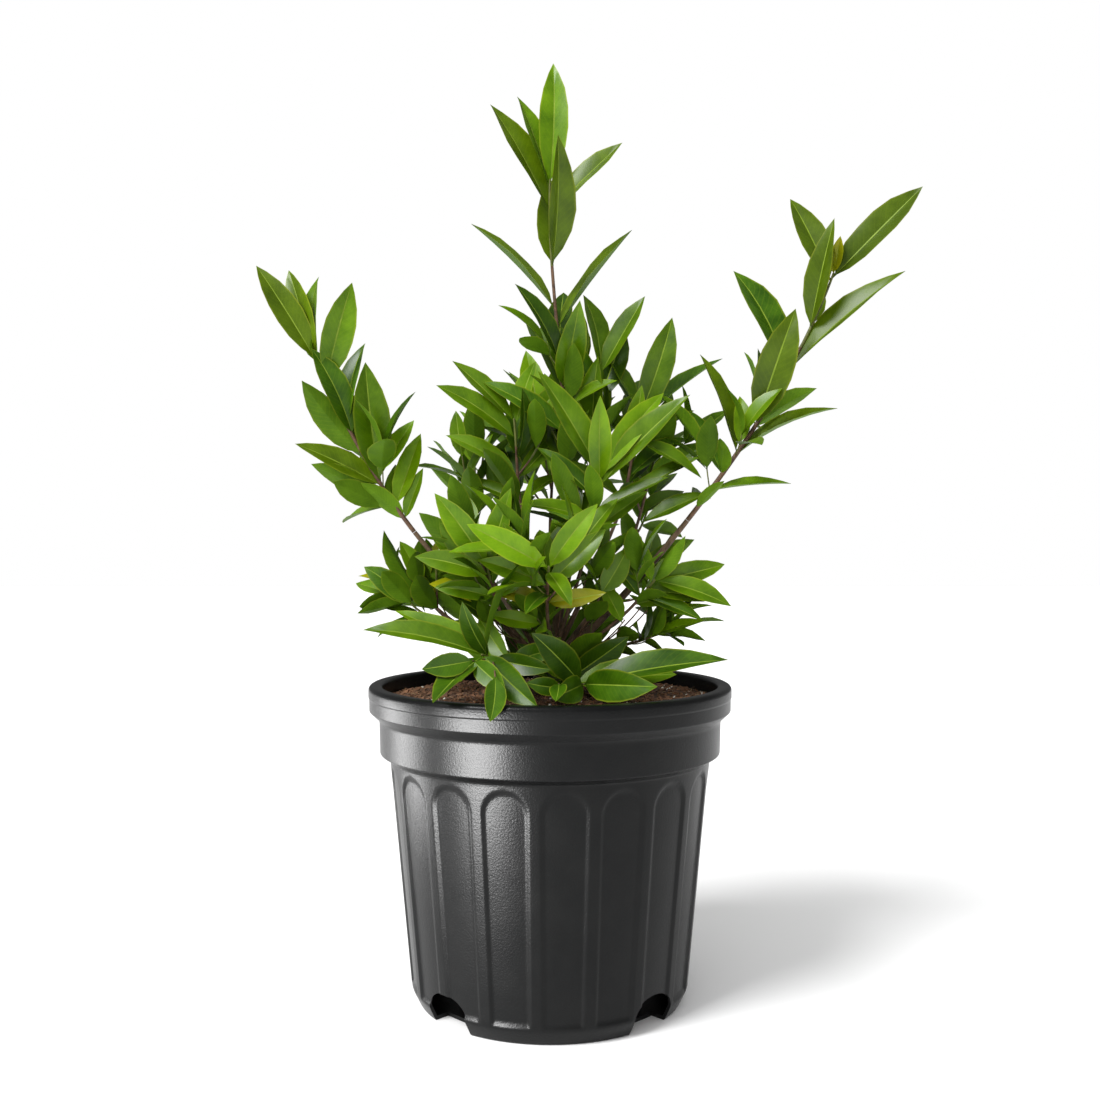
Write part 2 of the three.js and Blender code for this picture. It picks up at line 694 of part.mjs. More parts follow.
// Pairs of opposite leaves up a stem, each pair a quarter turn on from the one below
function growPairs(stem, seed) {
  const { mass, curve } = stem;
  const random = seededRandom(seed);
  const scale = stem === mass.stem ? 1 : shootLeafScale;
  const leafyLength = curve.getLength() * (1 - bareFoot);
  const pairs = Math.max(Math.round(leafyLength / (mass.spacing * scale)), 2);
  const firstTurn = 360 * random();
  for (let pair = 1; pair <= pairs; pair += 1) {
    const along = Math.min(bareFoot + ((1 - bareFoot) * pair) / pairs, lastPair);
    const frame = frameAt(curve, along);
    const pairTurnNow = firstTurn + pairTurn * pair + jitter(random, turnJitter);
    for (const half of [0, 180]) {
      const spread = spreadLow + (spreadHigh - spreadLow) * along ** 2 + jitter(random, spreadJitter);
      const lengthHere = mass.length * scale * (lengthAtFoot + (1 - lengthAtFoot) * along);
      const length = lengthHere * (1 + jitter(random, lengthJitter));
      const roll = jitter(random, rollJitter);
      for (const change of aimTries) {
        const turn = radians(pairTurnNow + half + change);
        const run = frame.run.clone().multiplyScalar(Math.cos(radians(spread)))
          .addScaledVector(frame.side, Math.cos(turn) * Math.sin(radians(spread)))
          .addScaledVector(frame.front, Math.sin(turn) * Math.sin(radians(spread)));
        const leaf = makeLeaf(stem, along, run, roll, length);
        if (leafIsClear(leaf)) {
          leaves.push(leaf);
          break;
        }
      }
    }
  }
}

Object.values(masses).forEach(growShoots);
for (const mass of Object.values(masses)) {
  if (mass.leaves) {
    growListedLeaves(mass);
  } else {
    mass.stems.forEach((stem, index) => growPairs(stem, mass.seed * 100 + index));
  }
}

function nearestOnLimb(limb, point) {
  return limb.segments
    .map(({ line }) => line.closestPointToPoint(point, true, new THREE.Vector3()))
    .reduce((best, place) => (place.distanceTo(point) < best.distanceTo(point) ? place : best));
}

// A leaf is three-sided: two edges that fold up, and a keel under the midrib
function leafSolid(leaf, grow) {
  const thickness = leaf.length / leafSlimness + grow;
  const widened = 1 + grow / 20;
  const acrossOf = [0, widened, -widened];
  const steps = leafOutline.length - 1;
  return ringSolid(3, steps, true, (along, side) => {
    if (along === 0) {
      return nearestOnLimb(leaf.limb, leaf.root).addScaledVector(leaf.run, rootOffset);
    }
    const [place] = leafOutline[Math.round(along * steps)];
    const lift = side === 0 ? -thickness : grow;
    return leafPoint(leaf, place, acrossOf[side]).addScaledVector(leaf.face, lift);
  });
}

// Each mass is joined from its stems and those of its leaves that stay clear of every other solid
for (const mass of Object.values(masses)) {
  const stems = mass.stems.map((stem) => limbSolid(stem.curve, stem.radiusAt, stemSides, stem.steps));
  const joined = wasm.Manifold.union(stems);
  mass.parts = [mass.height ? largestPiece(joined.subtract(cutter)) : joined];
}

function isFree(solid, mass) {
  const others = Object.values(masses).filter((other) => other !== mass);
  const rivals = [...solids, ...others.flatMap((other) => other.parts)];
  return rivals.every((rival) => solid.intersect(rival).isEmpty());
}

for (const leaf of leaves) {
  const { mass } = leaf.limb;
  if (isFree(leafSolid(leaf, gap), mass)) {
    mass.parts.push(leafSolid(leaf, 0));
  }
}

for (const mass of Object.values(masses)) {
  const whole = largestPiece(wasm.Manifold.union(mass.parts).simplify(mergeDistance));
  addMesh(`foliage_${mass.name}`, whole, leafMaterial);
}

export default potted;
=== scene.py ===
# A potted cherry of the rio grande: a young bush with three tall leaders, in a fluted nursery pot.
# Sizes are in millimetres, as in the part's source, and mm turns them into Blender's metres.
import json
import math
import bmesh
import bpy
import numpy as np
from mathutils import Matrix, Vector, noise

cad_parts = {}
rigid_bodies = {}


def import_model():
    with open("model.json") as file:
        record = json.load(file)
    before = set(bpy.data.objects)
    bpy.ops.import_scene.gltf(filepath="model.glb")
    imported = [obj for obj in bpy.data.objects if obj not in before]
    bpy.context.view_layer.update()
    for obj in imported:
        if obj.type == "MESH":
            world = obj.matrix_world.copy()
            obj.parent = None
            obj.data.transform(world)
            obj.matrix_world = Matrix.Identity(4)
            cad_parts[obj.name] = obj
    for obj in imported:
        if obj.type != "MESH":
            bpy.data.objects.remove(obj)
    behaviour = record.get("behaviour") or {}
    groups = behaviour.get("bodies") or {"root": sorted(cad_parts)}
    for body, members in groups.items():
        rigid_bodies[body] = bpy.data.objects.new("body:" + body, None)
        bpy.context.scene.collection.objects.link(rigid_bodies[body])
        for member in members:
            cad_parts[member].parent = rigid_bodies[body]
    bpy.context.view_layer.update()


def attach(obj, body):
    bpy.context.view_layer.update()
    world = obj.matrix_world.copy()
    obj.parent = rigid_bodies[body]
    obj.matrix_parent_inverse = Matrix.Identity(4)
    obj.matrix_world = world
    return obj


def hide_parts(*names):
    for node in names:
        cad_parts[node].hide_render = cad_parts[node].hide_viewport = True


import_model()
mm = 0.001

# Studio. The plant stands on a plain pale floor before a white backdrop, in soft light from high on its left.
# A weak fill from the front opens the shadows, and the white room is dimmer where it is mirrored. Two low
# lamps on the left light only the pot, whose plastic shows one as an upright highlight and the other as a lit
# edge. The camera is a little above the rim of the pot, level with the middle of the crown.
camera_distance = 949
camera_height = 352.5
camera_pitch = 0.5
camera_lens = 40
camera_reach = 100
floor_size = 16000
room_light = 0.66
room_gloss = 0.2
backdrop_light = 1.0
sun_from = (-0.6, -0.5, 0.85)
sun_angle = 24
sun_power = 3.5
fill_from = (-0.25, -1, 0.35)
fill_angle = 50
fill_power = 0.9
strip_place = (-322, -362, 104)
strip_size = (230, 196)
strip_power = 8.8
edge_lamp_place = (-520, 70, 112)
edge_lamp_size = (240, 210)
edge_lamp_power = 2.6
pot_lamp_aim = (0, 0, 100)
scene = bpy.context.scene
scene.view_settings.view_transform = "Standard"


def wire(tree, kind, inputs=None, result=0, **settings):
    """Adds a node, whose inputs are values or the sockets that feed them, and returns one of its outputs."""
    node = tree.nodes.new(kind)
    for key, value in settings.items():
        setattr(node, key, value)
    for key, value in (inputs or {}).items():
        if isinstance(value, bpy.types.NodeSocket):
            tree.links.new(value, node.inputs[key])
        else:
            node.inputs[key].default_value = value
    return node.outputs[result]


def blend(tree, share, first, second):
    """A colour between two others."""
    return wire(tree, "ShaderNodeMix", {0: share, 6: first, 7: second}, 2, data_type="RGBA")


def mottled(name, dark, light, patch, roughness, grain, depth, shine=0.5, stretch=(1, 1, 1)):
    """A material whose colour drifts between two shades over patches, with a fine grain in its surface."""
    material = bpy.data.materials.new(name)
    material.use_nodes = True
    tree = material.node_tree
    shader = tree.nodes["Principled BSDF"].inputs
    shader["Specular IOR Level"].default_value = shine
    place = wire(tree, "ShaderNodeTexCoord", result="Object")
    laid = wire(tree, "ShaderNodeMapping", {"Vector": place, "Scale": stretch})
    patches = {"Vector": laid, "Scale": 1 / (patch * mm), "Detail": 5.0, "Roughness": 0.6}
    drift = wire(tree, "ShaderNodeTexNoise", patches)
    spread = wire(tree, "ShaderNodeMapRange", {"Value": drift, "From Min": 0.32, "From Max": 0.68})
    gloss = wire(tree, "ShaderNodeMapRange", {"Value": drift, "To Min": roughness[0], "To Max": roughness[1]})
    fine = wire(tree, "ShaderNodeTexNoise", {"Vector": laid, "Scale": 1 / (grain * mm), "Detail": 3.0})
    bump = wire(tree, "ShaderNodeBump", {"Height": fine, "Strength": 0.6, "Distance": depth * mm})
    tree.links.new(blend(tree, spread, (*dark, 1), (*light, 1)), shader["Base Color"])
    tree.links.new(gloss, shader["Roughness"])
    tree.links.new(bump, shader["Normal"])
    return material


def in_scene(name, data):
    """A new object at the origin."""
    piece = bpy.data.objects.new(name, data)
    scene.collection.objects.link(piece)
    return piece


def mesh_piece(name, corners, faces, materials):
    """An object of corners in millimetres, with smooth faces."""
    mesh = bpy.data.meshes.new(name)
    mesh.from_pydata([tuple(float(value) * mm for value in corner) for corner in corners], [], faces)
    for material in materials:
        mesh.materials.append(material)
    mesh.shade_smooth()
    return in_scene(name, mesh)


def lamp(name, kind, power, place, aim=(0, 0, 0)):
    """A lamp that looks from its place towards a point."""
    light = in_scene(name, bpy.data.lights.new(name, kind))
    light.data.energy = power
    light.location = place
    light.rotation_euler = (Vector(aim) - Vector(place)).to_track_quat("-Z", "Y").to_euler()
    return light


camera = in_scene("camera", bpy.data.cameras.new("camera"))
camera.data.lens = camera_lens
camera.data.clip_end = camera_reach
camera.location = (0, -camera_distance * mm, camera_height * mm)
camera.rotation_euler = (math.radians(90 - camera_pitch), 0, 0)
scene.camera = camera
sun = lamp("soft_sun", "SUN", sun_power, sun_from)
sun.data.angle = math.radians(sun_angle)
front_fill = lamp("front_fill", "SUN", fill_power, fill_from)
front_fill.data.angle = math.radians(fill_angle)
front_fill.visible_glossy = False
pot_lamps = []
for name, place, size, power in (
    ("strip_lamp", strip_place, strip_size, strip_power),
    ("edge_lamp", edge_lamp_place, edge_lamp_size, edge_lamp_power),
):
    pot_lamp = lamp(name, "AREA", power, Vector(place) * mm, Vector(pot_lamp_aim) * mm)
    pot_lamp.data.shape = "RECTANGLE"
    pot_lamp.data.size, pot_lamp.data.size_y = (side * mm for side in size)
    pot_lamp.visible_diffuse = False
    pot_lamp.visible_camera = False
    pot_lamps.append(pot_lamp)

room = bpy.data.worlds.new("white_room")
room.use_nodes = True
air = room.node_tree
lit, mirrored, backdrop = (
    wire(air, "ShaderNodeBackground", {"Color": (1, 1, 1, 1), "Strength": strength})
    for strength in (room_light, room_gloss, backdrop_light)
)
is_mirrored = wire(air, "ShaderNodeLightPath", result="Is Glossy Ray")
is_seen = wire(air, "ShaderNodeLightPath", result="Is Camera Ray")
unseen = wire(air, "ShaderNodeMixShader", {0: is_mirrored, 1: lit, 2: mirrored})
walls = wire(air, "ShaderNodeMixShader", {0: is_seen, 1: unseen, 2: backdrop})
air.links.new(walls, air.nodes["World Output"].inputs["Surface"])
scene.world = room

floor_paint = mottled(
    "floor_paint", (0.95, 0.95, 0.95), (0.97, 0.97, 0.97),
    patch=900, roughness=(0.6, 0.7), grain=4, depth=0.02,
)
half = floor_size / 2
floor_corners = [(-half, -half, 0), (half, -half, 0), (half, half, 0), (-half, half, 0)]
floor = mesh_piece("floor", floor_corners, [(0, 1, 2, 3)], [floor_paint])

# Pot. One injection-moulded shell of black polyethylene, with a rolled lip, a band below it,
# eighteen shallow arched flutes pressed into the body and four drain notches cut through the foot.
pot_height = 241.3
rim_radius = 139.7
lip_height = 23.3
band_radius = 131.4
band_height = 30
body_top_radius = 122.6
chamfer_radius = 106.9
chamfer_height = 12
base_radius = 100.8
pot_wall = 2.4
pot_floor = 2.8
flute_count = 18
flute_first = 5
flute_depth = 1.7
flute_half = 17.2
flute_foot_share = 0.86
flute_top = 182
flute_edge = 2.4
flute_foot_slope = 0.6
body_rows = 84
panel_columns = 28
outer_rows = body_rows + 40
panel_join = 0.02
crease_angle = 42
notch_count = 4
notch_first = -45
notch_half = 19.5
notch_height = 26
notch_arch = 14
notch_reach = 14
notch_steps = 16
cutter_length = 40
cutter_below = 5
band_foot = pot_height - lip_height - band_height
lip_inside = band_radius - pot_wall
body_top = 185.5
band_corner = 190
lip_step = 222.3
lip_ridge = 232

# Each corner of the wall's outline: radius, height, and how far the corner is rounded
pot_outline = [
    (base_radius - 8, 0, 0), (base_radius, 0, 1.5), (chamfer_radius, chamfer_height, 3),
    (body_top_radius + 0.6, body_top, 1.5), (band_radius - 0.6, band_corner, 0.8),
    (band_radius, lip_step - 7, 2.5), (rim_radius - 0.7, lip_step, 0.7),
    (rim_radius - 0.6, lip_ridge - 0.6, 0.3), (rim_radius, lip_ridge + 0.6, 0.4),
    (rim_radius, pot_height, 3.8), (lip_inside, pot_height, 2.6), (lip_inside, band_foot + 2, 2),
    (body_top_radius - pot_wall, flute_top + 1, 2), (chamfer_radius - pot_wall, chamfer_height + 1, 0),
    (base_radius - 1.4, pot_floor, 0),
]


def rounded(corners):
    """The outline with each corner replaced by a short curve."""
    points = []
    for index, (radius, height, round_off) in enumerate(corners):
        here = np.array((radius, height), float)
        if round_off == 0:
            points.append(here)
            continue
        before = np.array(corners[index - 1][:2], float) - here
        after = np.array(corners[index + 1][:2], float) - here
        start = here + before / np.linalg.norm(before) * round_off
        end = here + after / np.linalg.norm(after) * round_off
        for share in (0, 0.25, 0.5, 0.75, 1):
            points.append((1 - share) ** 2 * start + 2 * share * (1 - share) * here + share ** 2 * end)
    return points


def smooth_step(value):
    value = min(max(value, 0), 1)
    return value * value * (3 - 2 * value)


def flute_share(across, height):
    """How deep the wall is pressed in at a place on one panel: 0 on the ribs, 1 inside the flute."""
    arch_foot = flute_top - flute_half - 1
    climb = (height - chamfer_height) / (arch_foot - chamfer_height)
    if height < arch_foot:
        inside = flute_half * (flute_foot_share + (1 - flute_foot_share) * climb) - abs(across)
    else:
        inside = flute_half - math.hypot(across, height - arch_foot)
    return smooth_step(min(inside, (height - chamfer_height) * flute_foot_slope) / flute_edge)


def panel_rows():
    """The outline, with many even rows up the body where the flute is pressed in."""
    points = rounded(pot_outline)
    foot = next(i for i, point in enumerate(points) if point[1] > chamfer_height + 0.5)
    top = next(i for i, point in enumerate(points) if point[1] > body_top - 2)
    band = next(i for i, point in enumerate(points) if point[1] > band_corner - 1)
    body = [points[foot] + (points[top] - points[foot]) * row / body_rows for row in range(body_rows)]
    step = []
    for index in range(top, band):
        step += [points[index] + (points[index + 1] - points[index]) * part / 4 for part in range(4)]
    return [np.array((0.0, 0.0))] + points[:foot] + body + step + points[band:] + [np.array((0.0, pot_floor))]


def quads(rows, columns, closed=False, first=0):
    """The faces of a grid of corners. A closed grid joins its last column to its first."""
    width = columns if closed else columns + 1
    faces = []
    for row in range(rows):
        low, high = first + row * width, first + (row + 1) * width
        for column in range(columns):
            after = (column + 1) % width
            faces.append((low + column, low + after, high + after, high + column))
    return faces


# Rows beyond the outer ones lie inside the pot, where the wall is smooth
rows = panel_rows()
panel_angle = 2 * math.pi / flute_count
corners = []
for row, (radius, height) in enumerate(rows):
    fluted = row < outer_rows and chamfer_height < height < flute_top + 1
    for column in range(panel_columns + 1):
        turn = (column / panel_columns - 0.5) * panel_angle
        inset = flute_depth * flute_share(turn * radius, height) if fluted else 0
        corners.append(((radius - inset) * math.sin(turn), -(radius - inset) * math.cos(turn), height))
pot_plastic = mottled(
    "black_polyethylene", (0.0035, 0.0038, 0.004), (0.006, 0.0062, 0.0062),
    patch=28, roughness=(0.28, 0.36), grain=1.3, depth=0.28, shine=0.16,
)
panel = mesh_piece("pot_panel", corners, quads(len(rows) - 1, panel_columns), [pot_plastic])


def new_tree(name, **inputs):
    """An empty Geometry Nodes tree with named inputs. Returns it with the sockets of its inputs."""
    tree = bpy.data.node_groups.new(name, "GeometryNodeTree")
    for title, kind in {"Geometry": "Geometry", **inputs}.items():
        plain_title = title.replace("_", " ")
        tree.interface.new_socket(name=plain_title, in_out="INPUT", socket_type="NodeSocket" + kind)
    tree.interface.new_socket(name="Geometry", in_out="OUTPUT", socket_type="NodeSocketGeometry")
    return tree, tree.nodes.new("NodeGroupInput").outputs


def close_tree(tree, geometry, material, **settings):
    """Ends a tree: realized and painted."""
    real = wire(tree, "GeometryNodeRealizeInstances", {"Geometry": geometry})
    painted = wire(tree, "GeometryNodeSetMaterial", {"Geometry": real, "Material": material, **settings})
    tree.links.new(painted, tree.nodes.new("NodeGroupOutput").inputs["Geometry"])


def sums(tree, operation, *values):
    return wire(tree, "ShaderNodeMath", dict(enumerate(values)), operation=operation)


def grown(source, tree, name, **values):
    """Runs a tree on an object and returns the result as a plain mesh. The object is used up."""
    modifier = source.modifiers.new(tree.name, "NODES")
    modifier.node_group = tree
    sockets = {item.name: item.identifier for item in tree.interface.items_tree if item.in_out == "INPUT"}
    for title, value in values.items():
        modifier[sockets[title.replace("_", " ")]] = value
    return flattened(source, name)


def flattened(source, name):
    """The object with its modifiers applied, as a new plain object."""
    depsgraph = bpy.context.evaluated_depsgraph_get()
    mesh = bpy.data.meshes.new_from_object(
        source.evaluated_get(depsgraph), preserve_all_data_layers=True, depsgraph=depsgraph
    )
    bpy.data.objects.remove(source)
    return in_scene(name, mesh)


ring_tree, ring_in = new_tree(
    "panels_in_a_ring", Count="Int", First_Turn="Float", Join="Float", Finish="Material"
)
spots = wire(ring_tree, "GeometryNodePoints", {"Count": ring_in["Count"]})
share = sums(ring_tree, "DIVIDE", wire(ring_tree, "GeometryNodeInputIndex"), ring_in["Count"])
turn = sums(ring_tree, "MULTIPLY_ADD", share, 2 * math.pi, ring_in["First Turn"])
turned = wire(ring_tree, "ShaderNodeCombineXYZ", {"Z": turn})
panels = {"Points": spots, "Instance": ring_in["Geometry"], "Rotation": turned}
ring = wire(ring_tree, "GeometryNodeInstanceOnPoints", panels)
whole = wire(ring_tree, "GeometryNodeRealizeInstances", {"Geometry": ring})
joined = wire(ring_tree, "GeometryNodeMergeByDistance", {"Geometry": whole, "Distance": ring_in["Join"]})
close_tree(ring_tree, joined, ring_in["Finish"])
pot = grown(
    panel, ring_tree, "pot_uncut", Count=flute_count, First_Turn=math.radians(flute_first),
    Join=panel_join * mm, Finish=pot_plastic,
)


def notch_block(heading):
    """A round-topped block that cuts one drain notch."""
    outline = [(-notch_half, -cutter_below), (notch_half, -cutter_below)]
    for step in range(notch_steps + 1):
        angle = math.pi * step / notch_steps
        rise = notch_arch * math.sin(angle)
        outline.append((notch_half * math.cos(angle), notch_height - notch_arch + rise))
    near = base_radius - notch_reach
    count = len(outline)
    block = [(across, -depth, height) for depth in (near, near + cutter_length) for across, height in outline]
    ends = [tuple(reversed(range(count))), tuple(range(count, 2 * count))]
    cos, sin = math.cos(heading), math.sin(heading)
    turned_block = [(x * cos - y * sin, x * sin + y * cos, z) for x, y, z in block]
    return mesh_piece("notch_block", turned_block, quads(1, count, closed=True) + ends, [pot_plastic])


cutters = [notch_block(math.radians(notch_first + index * 360 / notch_count)) for index in range(notch_count)]
for cutter in cutters:
    cut = pot.modifiers.new("notch", "BOOLEAN")
    cut.operation = "DIFFERENCE"
    cut.solver = "EXACT"
    cut.object = cutter
pot = flattened(pot, "pot_shell")
for cutter in cutters:
    bpy.data.objects.remove(cutter)
pot.data.shade_smooth()
pot.data.set_sharp_from_angle(angle=math.radians(crease_angle))
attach(pot, "root")
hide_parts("pot")
lit_by_pot_lamps = bpy.data.collections.new("lit_by_pot_lamps")
lit_by_pot_lamps.objects.link(pot)
for pot_lamp in pot_lamps:
    pot_lamp.light_linking.receiver_collection = lit_by_pot_lamps

# Potting mix. Dark composted bark and peat, filled to a finger below the rim and a little higher at the
# trunk. Loose bark chips, pale root fibres and grains of perlite are strewn over its top and pressed in.
# soil_heap is how far its top stands above the solid's, as the photo shows it nearly up to the lip.
soil_top = 229
soil_mound = 3
mound_power = 1.6
soil_heap = 4.6
soil_settling = 0.6
soil_gap = 0.3
soil_rings = 64
soil_sides = 144
soil_lumps = 0.9
lump_width = 14
lump_rise = 1.4
grit_width = 4
grit_rise = 0.7
soil_edge = 8
soil_seed = 7


def soil_height(x, y):
    """The rough top of the mix."""
    radius = math.hypot(x, y)
    lumps = Vector((x / lump_width, y / lump_width, 0.3))
    grit = Vector((x / grit_width, y / grit_width, 5.1))
    edge = smooth_step((lip_inside - radius) / soil_edge)
    rough = soil_lumps * (lump_rise * noise.noise(lumps) + grit_rise * noise.noise(grit)) * edge
    return soil_top + soil_heap - soil_mound * (radius / lip_inside) ** mound_power - soil_settling + rough


def soil_ring(radius, height=None):
    """A ring of corners, on the rough top where no height is given."""
    ring = []
    for side in range(soil_sides):
        angle = 2 * math.pi * side / soil_sides
        x, y = radius * math.sin(angle), -radius * math.cos(angle)
        ring.append((x, y, soil_height(x, y) if height is None else height))
    return ring


soil_below = [
    (lip_inside - soil_gap, band_foot + 2), (body_top_radius - pot_wall - soil_gap, flute_top + 1),
    (chamfer_radius - pot_wall + 1.5, notch_height + 12), (base_radius - notch_reach - 16, notch_height + 4),
    (base_radius - notch_reach - 18, pot_floor + soil_gap),
]
corners = [(0, 0, soil_height(0, 0))]
for number in range(1, soil_rings + 1):
    corners += soil_ring((lip_inside - soil_gap) * number / soil_rings)
for radius, height in soil_below:
    corners += soil_ring(radius, height)
faces = [(0, 1 + side, 1 + (side + 1) % soil_sides) for side in range(soil_sides)]
rings = quads(soil_rings + len(soil_below) - 1, soil_sides, closed=True, first=1)
faces += [(one, four, three, two) for one, two, three, four in rings]
faces.append(tuple(reversed(range(len(corners) - soil_sides, len(corners)))))
soil_mix = mottled(
    "potting_mix", (0.018, 0.009, 0.005), (0.12, 0.055, 0.026),
    patch=3.5, roughness=(0.8, 1.0), grain=0.8, depth=0.7,
)
soil = mesh_piece("soil_bed", corners, faces, [soil_mix])
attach(soil, "root")
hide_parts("soil")

chip_bark = mottled(
    "bark_chips", (0.03, 0.014, 0.007), (0.22, 0.1, 0.045),
    patch=9, roughness=(0.7, 0.95), grain=0.7, depth=0.3,
)
fibre_straw = mottled(
    "root_fibres", (0.12, 0.07, 0.035), (0.42, 0.3, 0.18),
    patch=12, roughness=(0.6, 0.85), grain=0.5, depth=0.1,
)
perlite_white = mottled(
    "perlite_grains", (0.45, 0.42, 0.36), (0.72, 0.7, 0.64),
    patch=2, roughness=(0.8, 0.95), grain=0.5, depth=0.3,
)
grain_crumple = 0.28
fibre_steps = 5
fibre_radius = 0.28
fibre_waver = 0.8


def lump(name, size, finish, seed):
    """A small angular grain: the skin round the corners and peaks of a box, each moved a little."""
    random = np.random.default_rng(seed)
    box = [(x, y, z) for x in (-1, 1) for y in (-1, 1) for z in (-1, 1)]
    peaks = [(0, 0, 1.25), (0, 0, -1.2), (1.3, 0, 0), (-1.25, 0, 0), (0, 1.3, 0), (0, -1.2, 0)]
    corners = np.array(box + peaks)
    shape = (corners + random.uniform(-grain_crumple, grain_crumple, corners.shape)) * np.array(size) / 2
    grain = mesh_piece(name, shape, [], [finish])
    skin = bmesh.new()
    skin.from_mesh(grain.data)
    result = bmesh.ops.convex_hull(skin, input=skin.verts)
    spare = [item for item in result["geom_interior"] if isinstance(item, bmesh.types.BMVert)]
    bmesh.ops.delete(skin, geom=spare, context="VERTS")
    bmesh.ops.recalc_face_normals(skin, faces=skin.faces)
    skin.to_mesh(grain.data)
    skin.free()
    return grain


def fibre(name, length, bend, finish):
    """A short root: a three-sided strand with one bend."""
    corners = []
    for step in range(fibre_steps + 1):
        along = step / fibre_steps - 0.5
        thick = fibre_radius * (1 - 1.2 * along * along)
        for side in range(3):
            angle = 2 * math.pi * side / 3
            corners.append((
                along * length, bend * math.cos(2.6 * along) + thick * math.cos(angle),
                fibre_waver * math.sin(5 * along) + thick * math.sin(angle),
            ))
    count = len(corners)
    ends = [(2, 1, 0), (count - 3, count - 2, count - 1)]
    return mesh_piece(name, corners, quads(fibre_steps, 3, closed=True) + ends, [finish])


def gathered(name, shapes):
    """A collection of shapes for a tree to pick from."""
    collection = bpy.data.collections.new(name)
    scene.collection.children.link(collection)
    for shape in shapes:
        scene.collection.objects.unlink(shape)
        collection.objects.link(shape)
    return collection


def discard(collection):
    for shape in list(collection.objects):
        bpy.data.objects.remove(shape)
    bpy.data.collections.remove(collection)


def picked_from(tree, collection):
    """The shapes of a collection, one by one."""
    settings = {"Collection": collection, "Separate Children": True, "Reset Children": True}
    return wire(tree, "GeometryNodeCollectionInfo", settings)


strew_tree, strew_in = new_tree(
    "strewn_grains", Shapes="Collection", Density="Float", Smallest="Float", Largest="Float",
    Tilt="Float", Seed="Int", Finish="Material",
)
scattering = {"Mesh": strew_in["Geometry"], "Density": strew_in["Density"], "Seed": strew_in["Seed"]}
strewn = wire(strew_tree, "GeometryNodeDistributePointsOnFaces", scattering)
least_turn = {0: (-1.0, -1.0, 0.0), "Scale": strew_in["Tilt"]}
lowest = wire(strew_tree, "ShaderNodeVectorMath", least_turn, operation="SCALE")
highest = wire(
    strew_tree, "ShaderNodeVectorMath", {0: lowest, 1: (-1.0, -1.0, 1.0), 2: (0.0, 0.0, 2 * math.pi)},
    operation="MULTIPLY_ADD",
)
grain_turn = wire(
    strew_tree, "FunctionNodeRandomValue", {0: lowest, 1: highest, "Seed": strew_in["Seed"]},
    data_type="FLOAT_VECTOR",
)
grain_size = wire(
    strew_tree, "FunctionNodeRandomValue",
    {2: strew_in["Smallest"], 3: strew_in["Largest"], "Seed": strew_in["Seed"]}, 1, data_type="FLOAT",
)
grains = wire(strew_tree, "GeometryNodeInstanceOnPoints", {
    "Points": strewn, "Instance": picked_from(strew_tree, strew_in["Shapes"]), "Pick Instance": True,
    "Rotation": grain_turn, "Scale": grain_size,
})
close_tree(strew_tree, grains, strew_in["Finish"])
bed_depth = 8
bed_inside = 13
bed_margin = 4


def outside_bed(face):
    """True for the faces of the mix that lie low, near the trunk or near the wall."""
    middle = face.calc_center_median()
    low = middle.z < (soil_top - bed_depth) * mm
    return low or not bed_inside * mm < math.hypot(*middle.xy) < (lip_inside - bed_margin) * mm


def strewn_over(name, shapes, finish, slot, **values):
    """Strews shapes over a copy of the soil's top."""
    bed = mesh_piece("strewing_bed", [], [], [])
    top = bmesh.new()
    top.from_mesh(soil.data)
    bmesh.ops.delete(top, geom=[face for face in top.faces if outside_bed(face)], context="FACES")
    top.to_mesh(bed.data)
    top.free()
    collection = gathered(name + "_shapes", shapes)
    piece = grown(bed, strew_tree, name, Shapes=collection, Finish=finish, **values)
    discard(collection)
    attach(piece, "root")


strewn_over(
    "bark_chips",
    [lump("chip_long", (6, 2.4, 1.2), chip_bark, 1), lump("chip_wide", (4, 3.4, 1.4), chip_bark, 2),
     lump("chip_small", (2.4, 2, 1.6), chip_bark, 3)],
    chip_bark, "soil", Density=52000.0, Smallest=0.45, Largest=1.15, Tilt=0.7, Seed=soil_seed,
)
strewn_over(
    "root_fibres",
    [fibre("fibre_straight", 11, 0.4, fibre_straw), fibre("fibre_bent", 8, 2.5, fibre_straw)],
    fibre_straw, "soil", Density=7000.0, Smallest=0.5, Largest=1.2, Tilt=0.35, Seed=soil_seed + 1,
)
strewn_over(
    "perlite_grains",
    [lump("grain_round", (2.6, 2.2, 2), perlite_white, 5),
     lump("grain_flat", (3, 2.6, 1.4), perlite_white, 6)],
    perlite_white, "perlite", Density=1400.0, Smallest=0.4, Largest=1.0, Tilt=1.0, Seed=soil_seed + 2,
)

# Trunk. A short woody stump that swells into five root ridges at the soil, leans to the right and ends
# in a rounded fork. Its bark is dark grey-brown, split into fine ridges that run up it.
trunk_foot = (-5, -2)
trunk_fork = (3, 1)
trunk_top = 268
trunk_radius = 10
flare_radius = 7.5
flare_height = 9
flare_lobes = 5
lobe_depth = 0.22
trunk_sides = 84
trunk_rows = 70
root_depth = 2.5
fork_rounding = 0.93
bark_relief = 0.55
ridge_level = 0.6
crack_depth = 2.4
ridge_width = 2.2
ridge_length = 9
fine_ridge_length = 4
limb_gap = 0.3
up = np.array((0.0, 0.0, 1.0))


def unit(vector):
    return vector / np.linalg.norm(vector)


def direction(heading, rise):
    """A direction from its compass heading and its climb, in degrees."""
    heading, rise = math.radians(heading), math.radians(rise)
    return np.array((math.cos(rise) * math.cos(heading), math.cos(rise) * math.sin(heading), math.sin(rise)))


def heading_of(vector):
    return math.degrees(math.atan2(vector[1], vector[0]))


